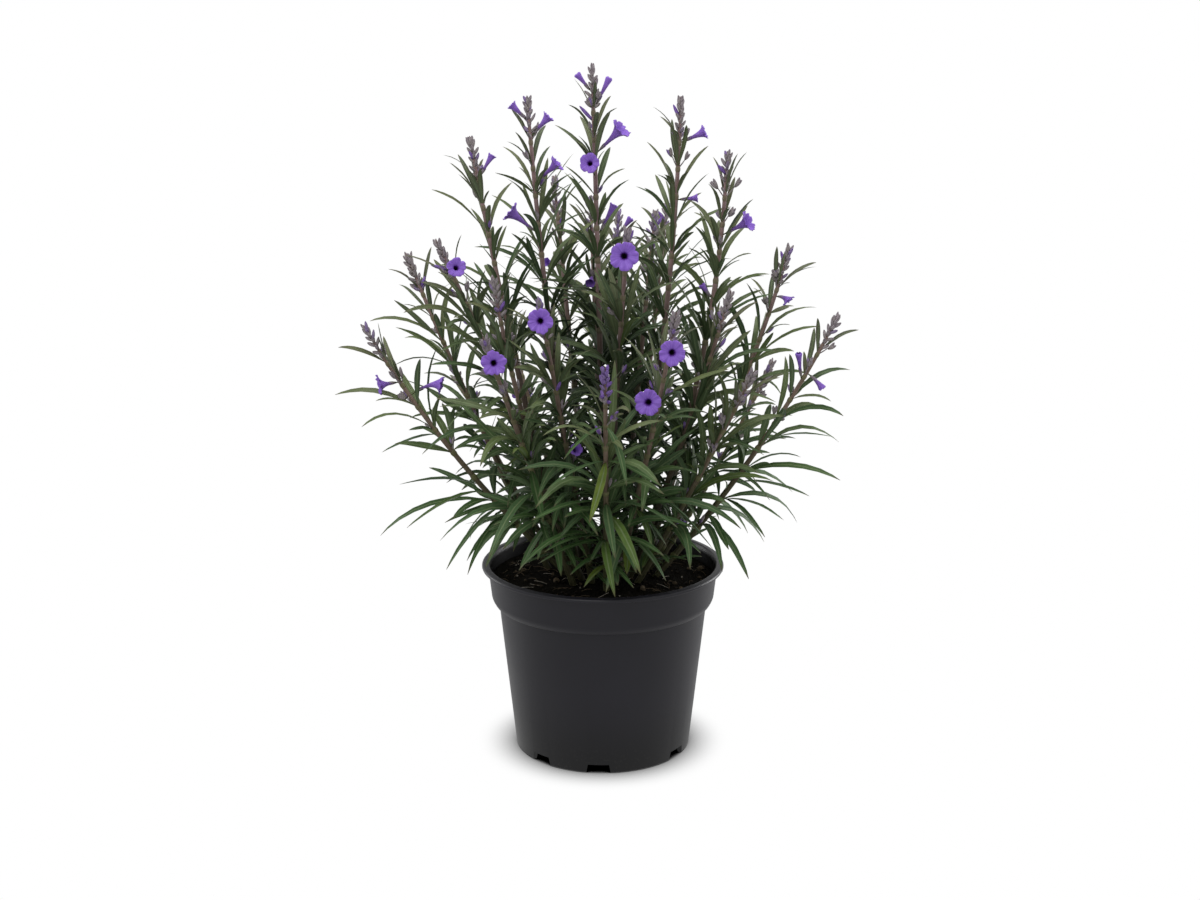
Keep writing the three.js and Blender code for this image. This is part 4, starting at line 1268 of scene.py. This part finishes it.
def lump_place(x, y, size, flatness, chance):
    """Lays a pebble or a crumb of bark on the soil, a little sunk in."""
    turn = Matrix.Rotation(chance.uniform(0, ROUND), 3, "Z")
    tilt = Matrix.Rotation(chance.uniform(-LUMP_TILT, LUMP_TILT), 3, "X")
    stretched = Vector((size * chance.uniform(*LUMP_STRETCH), size, size * flatness)) * MM
    lift = size * flatness * LUMP_LIFT * MM
    centre = Vector((x * MM, y * MM, soil_height(x * MM, y * MM) + lift))
    shift = Vector([chance.uniform(-9, 9) for _ in range(3)])
    def place(point):
        rough = 1 + DENT_DEPTH * noise.noise(point * DENT_FINENESS + shift)
        return centre + turn @ tilt @ Vector((a * b * rough for a, b in zip(point, stretched)))
    return place


def spot_on_soil(chance):
    """A place on the soil, as likely near its edge as near its middle."""
    radius = SCATTER_RADIUS * math.sqrt(chance.random())
    turn = chance.uniform(0, 2 * math.pi)
    return radius * math.cos(turn), radius * math.sin(turn)


def fibre_line(chance):
    """A fibre that arches over the soil between two points on it."""
    x, y = spot_on_soil(chance)
    start = Vector((x * MM, y * MM, soil_height(x * MM, y * MM) + FIBRE_START * MM))
    turn = chance.uniform(0, 2 * math.pi)
    way = Vector((math.cos(turn), math.sin(turn), 0.0)) * chance.uniform(*FIBRE_LENGTH) * MM
    end = start + way
    if math.hypot(end.x, end.y) > SCATTER_RADIUS * MM:
        end = start - way
    end.z = soil_height(end.x, end.y) + FIBRE_END * MM
    aside = Vector((-way.y, way.x, 0)) * chance.uniform(-FIBRE_SWAY, FIBRE_SWAY)
    bend = start.lerp(end, 0.5) + aside
    bend.z += chance.uniform(*FIBRE_ARCH) * MM
    return Line(start, bend, end)


def loose_piece(stalk, material):
    chance = Random(LOOSE_SEED)
    bm = bmesh.new()
    add_layers(bm, "tint", "round_x", "round_y")
    crumb, pebble = pebble_template(1), pebble_template(2)
    for kind in (CRUMBS, PERLITE):
        for _ in range(kind["count"]):
            x, y = spot_on_soil(chance)
            size, flatness = chance.uniform(*kind["size"]), chance.uniform(*kind["flatness"])
            place = lump_place(x, y, size, flatness, chance)
            stamp(bm, crumb, place, tint=chance.uniform(*kind["tone"]))
    for x, y, size in PEBBLES:
        place = lump_place(x, y, size, PEBBLE_FLATNESS, chance)
        stamp(bm, pebble, place, tint=chance.uniform(*PEBBLE_TONE))
    for _ in range(FIBRES):
        place = tube_place(fibre_line(chance), lambda share: FIBRE_RADIUS * MM)
        stamp(bm, stalk, place, tint=chance.uniform(*FIBRE_TONE))
    bmesh.ops.recalc_face_normals(bm, faces=bm.faces)
    return new_piece(bm, "loose_bits", [material], "loose_bits")


# Shader nodes, and the two groups that several materials use

def paint(name):
    """A named colour in the linear values that a shader takes."""
    shares = [value / 255 for value in COLOURS[name]]
    linear = [share / 12.92 if share <= 0.04045 else ((share + 0.055) / 1.055) ** 2.4 for share in shares]
    return (*linear, 1.0)


class Nodes:
    """The nodes of a material, a group or the world, with what is often made of them."""

    def __init__(self, tree):
        self.tree = tree

    def feed(self, socket, value):
        """Links a socket to another, or sets it to a plain value."""
        if isinstance(value, bpy.types.NodeSocket):
            self.tree.links.new(value, socket)
        else:
            socket.default_value = value

    def feed_all(self, node, values):
        for title, value in values.items():
            self.feed(node.inputs[title.replace("_", " ")], value)

    def new(self, kind, **values):
        """A new node, with its inputs fed by name."""
        node = self.tree.nodes.new(f"ShaderNode{kind}")
        self.feed_all(node, values)
        return node

    def calc(self, operation, first, second=0.0):
        node = self.new("Math")
        node.operation = operation
        self.feed(node.inputs[0], first)
        self.feed(node.inputs[1], second)
        return node.outputs[0]

    def times(self, first, second):
        return self.calc("MULTIPLY", first, second)

    def plus(self, first, second):
        return self.calc("ADD", first, second)

    def between(self, value, low, high):
        """0 under low, 1 over high, and smooth between them; turned round where low is over high."""
        start, end = (1.0, 0.0) if low > high else (0.0, 1.0)
        node = self.new("MapRange", Value=value, From_Min=min(low, high), From_Max=max(low, high),
                        To_Min=start, To_Max=end)
        node.interpolation_type = "SMOOTHSTEP"
        return node.outputs["Result"]

    def stretch(self, value, low, high):
        """A 0 to 1 value mapped to a plain range."""
        return self.new("MapRange", Value=value, To_Min=low, To_Max=high).outputs["Result"]

    def tinted(self, share, first, second):
        """The first colour where the share is 0, and the second where it is 1."""
        node = self.new("Mix")
        node.data_type = "RGBA"
        self.feed(node.inputs[0], share)
        self.feed(node.inputs[6], first)
        self.feed(node.inputs[7], second)
        return node.outputs[2]

    def coats(self, ground, rows):
        """Lays named colours over a first one, each where its mask is near 1."""
        colour = paint(ground)
        for mask, name in rows:
            colour = self.tinted(mask, colour, paint(name))
        return colour

    def readings(self, *names):
        """The numbers that a piece notes at each of its points."""
        nodes = [self.new("Attribute") for _ in names]
        for node, name in zip(nodes, names):
            node.attribute_name = name
        return [node.outputs["Fac"] for node in nodes]

    def place(self):
        return self.new("TexCoord").outputs["Object"]

    def mask(self, group, **values):
        """Uses a group of nodes with its own values."""
        node = self.new("Group")
        node.node_tree = bpy.data.node_groups[group]
        self.feed_all(node, values)
        return node.outputs["Mask"]

    def mottle(self, scale, detail):
        """Soft patches over the piece; a greater scale makes them smaller."""
        return self.mask("soft_mottle", Place=self.place(), Scale=scale, Detail=detail)

    def streaks(self, length, fineness):
        """Fine lines along a piece that notes which way round its points lie."""
        round_x, round_y = self.readings("round_x", "round_y")
        return self.mask("lengthwise_streaks", Round_X=round_x, Round_Y=round_y, Length=length,
                         Fineness=fineness)


def new_group(name, inputs):
    """A group that puts out one mask: its nodes, its inputs and the socket of its mask."""
    group = bpy.data.node_groups.new(name, "ShaderNodeTree")
    for title, kind in inputs.items():
        group.interface.new_socket(name=title, in_out="INPUT", socket_type=f"NodeSocket{kind}")
    group.interface.new_socket(name="Mask", in_out="OUTPUT", socket_type="NodeSocketFloat")
    entry = group.nodes.new("NodeGroupInput").outputs
    return Nodes(group), entry, group.nodes.new("NodeGroupOutput").inputs["Mask"]


def add_mottle_group():
    """Soft patches of a size, as a mask, from a place on the piece."""
    nodes, entry, mask = new_group("soft_mottle", {"Place": "Vector", "Scale": "Float", "Detail": "Float"})
    cloud = nodes.new("TexNoise", Vector=entry["Place"], Scale=entry["Scale"], Detail=entry["Detail"],
                      Roughness=0.6)
    nodes.feed(mask, nodes.between(cloud.outputs["Fac"], 0.3, 0.7))


def add_streak_group():
    """Fine streaks that run along a round part, as a mask."""
    inputs = {"Round X": "Float", "Round Y": "Float", "Length": "Float", "Fineness": "Float"}
    nodes, entry, mask = new_group("lengthwise_streaks", inputs)
    joined = nodes.new("CombineXYZ", X=entry["Round X"], Y=entry["Round Y"], Z=entry["Length"])
    cloud = nodes.new("TexNoise", Vector=joined.outputs["Vector"], Scale=entry["Fineness"], Detail=3.0)
    nodes.feed(mask, nodes.between(cloud.outputs["Fac"], 0.36, 0.64))


# Materials

class Skin(Nodes):
    """A material with one shader."""

    def __init__(self, name, specular):
        self.material = bpy.data.materials.new(name)
        self.material.use_nodes = True
        super().__init__(self.material.node_tree)
        self.shader = self.tree.nodes["Principled BSDF"]
        self.feed(self.shader.inputs["Specular IOR Level"], specular)

    def finished(self, colour, roughness, bump, height, strength=1.0):
        """The material with its colour, its roughness, and a bump of a height in metres."""
        raised = self.new("Bump", Height=bump, Distance=height, Strength=strength)
        self.feed_all(self.shader, {
            "Base Color": colour, "Roughness": roughness, "Normal": raised.outputs["Normal"],
        })
        return self.material


def leaf_material():
    skin = Skin("narrow_leaf", 0.2)
    age, tint, across, length, under, depth = skin.readings(
        "age", "tint", "across", "length", "under", "depth")
    spot = skin.mottle(60.0, 3.0)
    wide = skin.calc("ABSOLUTE", across)
    rib = skin.times(skin.between(wide, 0.24, 0.08), 0.72)
    green = skin.coats("fresh leaf", [
        (skin.between(age, 0.08, 0.75), "grown leaf"),
        (skin.between(tint, 0.5, 1.0), "cool leaf"),
        (skin.between(tint, YELLOW_TINT, 0.0), "yellow leaf"),
        (skin.stretch(spot, 0.0, 0.35), "leaf patch"),
        (skin.times(skin.between(age, 0.32, 0.0), 0.5), "purple flush"),
        (skin.times(under, 0.6), "leaf underside"),
        (rib, "leaf rib"),
        # Painted highlight: a paler rim along each leaf's margin
        (skin.times(skin.between(wide, 0.86, 1.0), 0.35), "painted rim highlight"),
        (skin.between(length, 0.12, 0.0), "leaf foot"),
        (skin.times(skin.between(length, 0.9, 1.0), 0.6), "leaf tip"),
        # Painted shade: leaves deep inside the plant are darkened
        (skin.times(depth, 0.88), "leaf in painted shade"),
    ])
    veins = skin.calc("SINE", skin.plus(skin.times(length, 150.0), skin.times(wide, -9.0)))
    relief = skin.plus(skin.times(veins, 0.12), skin.times(rib, -1.0))
    return skin.finished(green, skin.stretch(spot, 0.4, 0.58), relief, 0.0003)


def bark_material():
    skin = Skin("stem_skin", 0.25)
    rise, knot, depth = skin.readings("rise", "knot", "depth")
    streak = skin.streaks(skin.times(rise, 9.0), 3.2)
    # Painted shade: stalks deep inside the plant are darkened, below its top
    inside = skin.times(skin.between(depth, 0.2, 0.9), 0.7)
    bark = skin.coats("low skin", [
        (skin.between(rise, 0.27, 0.42), "middle skin"),
        (skin.between(rise, 0.42, 0.6), "high skin"),
        (skin.times(streak, skin.stretch(skin.between(rise, 0.3, 0.6), 0.12, 0.45)), "skin streak"),
        (skin.times(skin.mottle(120.0, 2.0), 0.28), "skin patch"),
        (skin.times(knot, 0.55), "leaf joint"),
        (skin.times(inside, skin.between(rise, 0.62, 0.45)), "stalk in painted shade"),
    ])
    return skin.finished(bark, 0.6, streak, 0.0003)


def bud_material():
    skin = Skin("bud_scales", 0.25)
    length, tint, violet = skin.readings("length", "tint", "violet")
    streak = skin.streaks(length, 2.6)
    scale = skin.coats("grey bud", [
        (tint, "brown bud"),
        (skin.between(length, 0.45, 1.0), "bud tip"),
        # Pale streaks along the buds: ridges on the scales, and painted highlight too
        (skin.times(streak, 0.55), "bud ridge with painted highlight"),
        (skin.times(skin.mottle(900.0, 1.0), 0.3), "bud hairs"),
        (skin.between(length, 0.2, 0.0), "bud foot"),
    ])
    purple = skin.coats("violet bud", [
        (streak, "pale violet bud"),
        (skin.between(length, 0.3, 0.05), "violet bud foot"),
    ])
    return skin.finished(skin.tinted(violet, scale, purple), 0.75, streak, 0.0003)


def petal_material():
    skin = Skin("violet_petal", 0.2)
    throat, outer = skin.readings("throat", "outer")
    veins = skin.streaks(skin.times(outer, 0.25), 7.5)
    starred = skin.plus(throat, skin.times(veins, 0.14))
    violet = skin.coats("flower tube", [
        (skin.between(outer, 0.0, 0.9), "petal"),
        (skin.times(veins, 0.42), "petal vein"),
        # Painted highlight: lighter patches on the petals at random
        (skin.times(skin.mottle(240.0, 2.0), 0.3), "petal painted highlight"),
        (skin.between(starred, 0.38, 0.68), "throat star"),
        (skin.between(starred, 0.6, 0.76), "throat"),
    ])
    return skin.finished(violet, 0.6, veins, 0.0002)


def painted_wall_shade(skin, x, y, z):
    """Painted shade on the inside wall of the container's top band, as a mask."""
    flat = skin.new("CombineXYZ", X=x, Y=y)
    reach = skin.new("VectorMath")
    reach.operation = "LENGTH"
    skin.feed(reach.inputs[0], flat.outputs[0])
    upright = skin.calc("SUBTRACT", reach.outputs["Value"], skin.times(z, BAND_FLARE))
    return skin.times(skin.between(upright, *INNER_WALL), skin.between(z, *BAND_START))


def plastic_material():
    skin = Skin("black_plastic", 0.38)
    x, y, z = skin.new("SeparateXYZ", Vector=skin.place()).outputs
    soft = skin.mottle(7.0, 4.0)
    specks = skin.between(skin.mottle(330.0, 0.0), 0.985, 1.0)
    black = skin.coats("plastic", [
        (soft, "worn plastic"),
        # Painted shade: the container darkens towards its foot
        (skin.between(z, 0.1, 0.0), "plastic in painted low shade"),
        # Painted shade: the inside wall of the top band is darkened
        (skin.times(painted_wall_shade(skin, x, y, z), 0.85), "painted shade on inside wall"),
        (skin.times(specks, skin.times(skin.between(z, 0.05, 0.004), 0.03)), "dust"),
    ])
    return skin.finished(black, skin.stretch(soft, 0.33, 0.42), skin.mottle(1400.0, 1.0), 0.00006, 0.5)


def soil_material():
    skin = Skin("moist_soil", 0.05)
    clods = skin.mottle(90.0, 6.0)
    crumbs = skin.times(skin.mottle(520.0, 4.0), 0.5)
    dark = skin.coats("wet soil", [(clods, "soil"), (crumbs, "soil crumb")])
    return skin.finished(dark, 0.95, skin.plus(clods, crumbs), 0.002)


def loose_material():
    skin = Skin("loose_bits", 0.12)
    tone, = skin.readings("tint")
    grain = skin.mottle(700.0, 3.0)
    colour = skin.coats("soil", [
        (skin.between(tone, 0.3, 0.62), "bark bit"),
        (skin.between(tone, 0.78, 0.95), "perlite"),
        (skin.times(grain, 0.4), "grain"),
    ])
    return skin.finished(colour, 0.9, grain, 0.0008)


# Stage: floor, lights and camera

def split_rays(nodes, seen, lit, output):
    """Shows the camera one shader, and lights the object with another."""
    chosen = nodes.new("MixShader", Fac=nodes.new("LightPath").outputs["Is Camera Ray"])
    nodes.feed(chosen.inputs[1], lit.outputs[0])
    nodes.feed(chosen.inputs[2], seen.outputs[0])
    nodes.feed(output.inputs["Surface"], chosen.outputs[0])


def floor_material():
    """White to the camera, with a painted shadow where the container would keep the light off it, and
    glowing to light the plant.
    """
    material = bpy.data.materials.new("white_floor")
    material.use_nodes = True
    nodes = Nodes(material.node_tree)
    nodes.tree.nodes.remove(nodes.tree.nodes["Principled BSDF"])
    near = nodes.new("AmbientOcclusion", Distance=SHADOW_REACH)
    near.samples = SHADOW_SAMPLES
    seen = nodes.new("Emission", Strength=nodes.between(near.outputs["AO"], *SHADOW_RANGE))
    glow = nodes.new("Emission", Strength=FLOOR_GLOW)
    split_rays(nodes, seen, glow, nodes.tree.nodes["Material Output"])
    material.cycles.emission_sampling = "NONE"
    return material


def add_floor():
    bm = bmesh.new()
    bmesh.ops.create_grid(bm, x_segments=1, y_segments=1, size=FLOOR_SIZE)
    floor = new_object("studio_floor", finished_mesh("studio_floor", bm))
    floor.data.materials.append(floor_material())


def add_light(name, place, aim, size, power):
    data = bpy.data.lights.new(name, "AREA")
    data.shape = "RECTANGLE"
    data.size, data.size_y = size
    data.energy = power
    light = new_object(name, data)
    light.location = place
    light.rotation_euler = (Vector(aim) - Vector(place)).to_track_quat("-Z", "Y").to_euler()
    light.visible_camera = False


def add_world():
    world = bpy.data.worlds.new("studio")
    bpy.context.scene.world = world
    world.use_nodes = True
    nodes = Nodes(world.node_tree)
    seen = nodes.tree.nodes["Background"]
    nodes.feed(seen.inputs["Color"], WHITE)
    lit = nodes.new("Background", Color=WHITE, Strength=WORLD_LIGHT)
    split_rays(nodes, seen, lit, nodes.tree.nodes["World Output"])


def add_camera():
    data = bpy.data.cameras.new("photo_camera")
    data.lens = CAMERA_LENS
    data.sensor_width = CAMERA_SENSOR
    camera = new_object("photo_camera", data)
    camera.location = CAMERA_PLACE
    camera.rotation_euler = (math.radians(90 + CAMERA_PITCH), 0.0, 0.0)
    bpy.context.scene.camera = camera


def build_plant():
    add_mottle_group()
    add_streak_group()
    leaf_skin, bark, scales, petals = leaf_material(), bark_material(), bud_material(), petal_material()
    leaf, bud = leaf_template(), bud_template()
    stalk, collar = stalk_template(STEM_STATIONS), stalk_template(COLLAR_STATIONS)
    lines = [stem_line(row) for row in STEMS]
    mouths = [(flower_line(i, row, lines).end, row[5] / 2 * MM) for i, row in enumerate(FLOWERS, start=1)]
    for number, line in enumerate(lines, start=1):
        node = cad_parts[stem_name(number)]
        joints = joint_shares(line)
        add_leaves(number, grown_leaves(number, line, node, mouths), leaf, leaf_skin)
        add_stalk(number, line, joints, stalk, collar, bark)
        add_buds(number, line, joints, bud, scales)
    for number, row in enumerate(FLOWERS, start=1):
        flower_piece(number, row, lines, bud, collar, [petals, scales])
    pot_piece(plastic_material())
    soil_piece(soil_material())
    loose_piece(collar, loose_material())


def set_stage():
    add_floor()
    add_world()
    add_camera()
    for name, light in LIGHTS.items():
        add_light(name, *light)
    bpy.context.scene.view_settings.view_transform = "Standard"


build_plant()
set_stage()
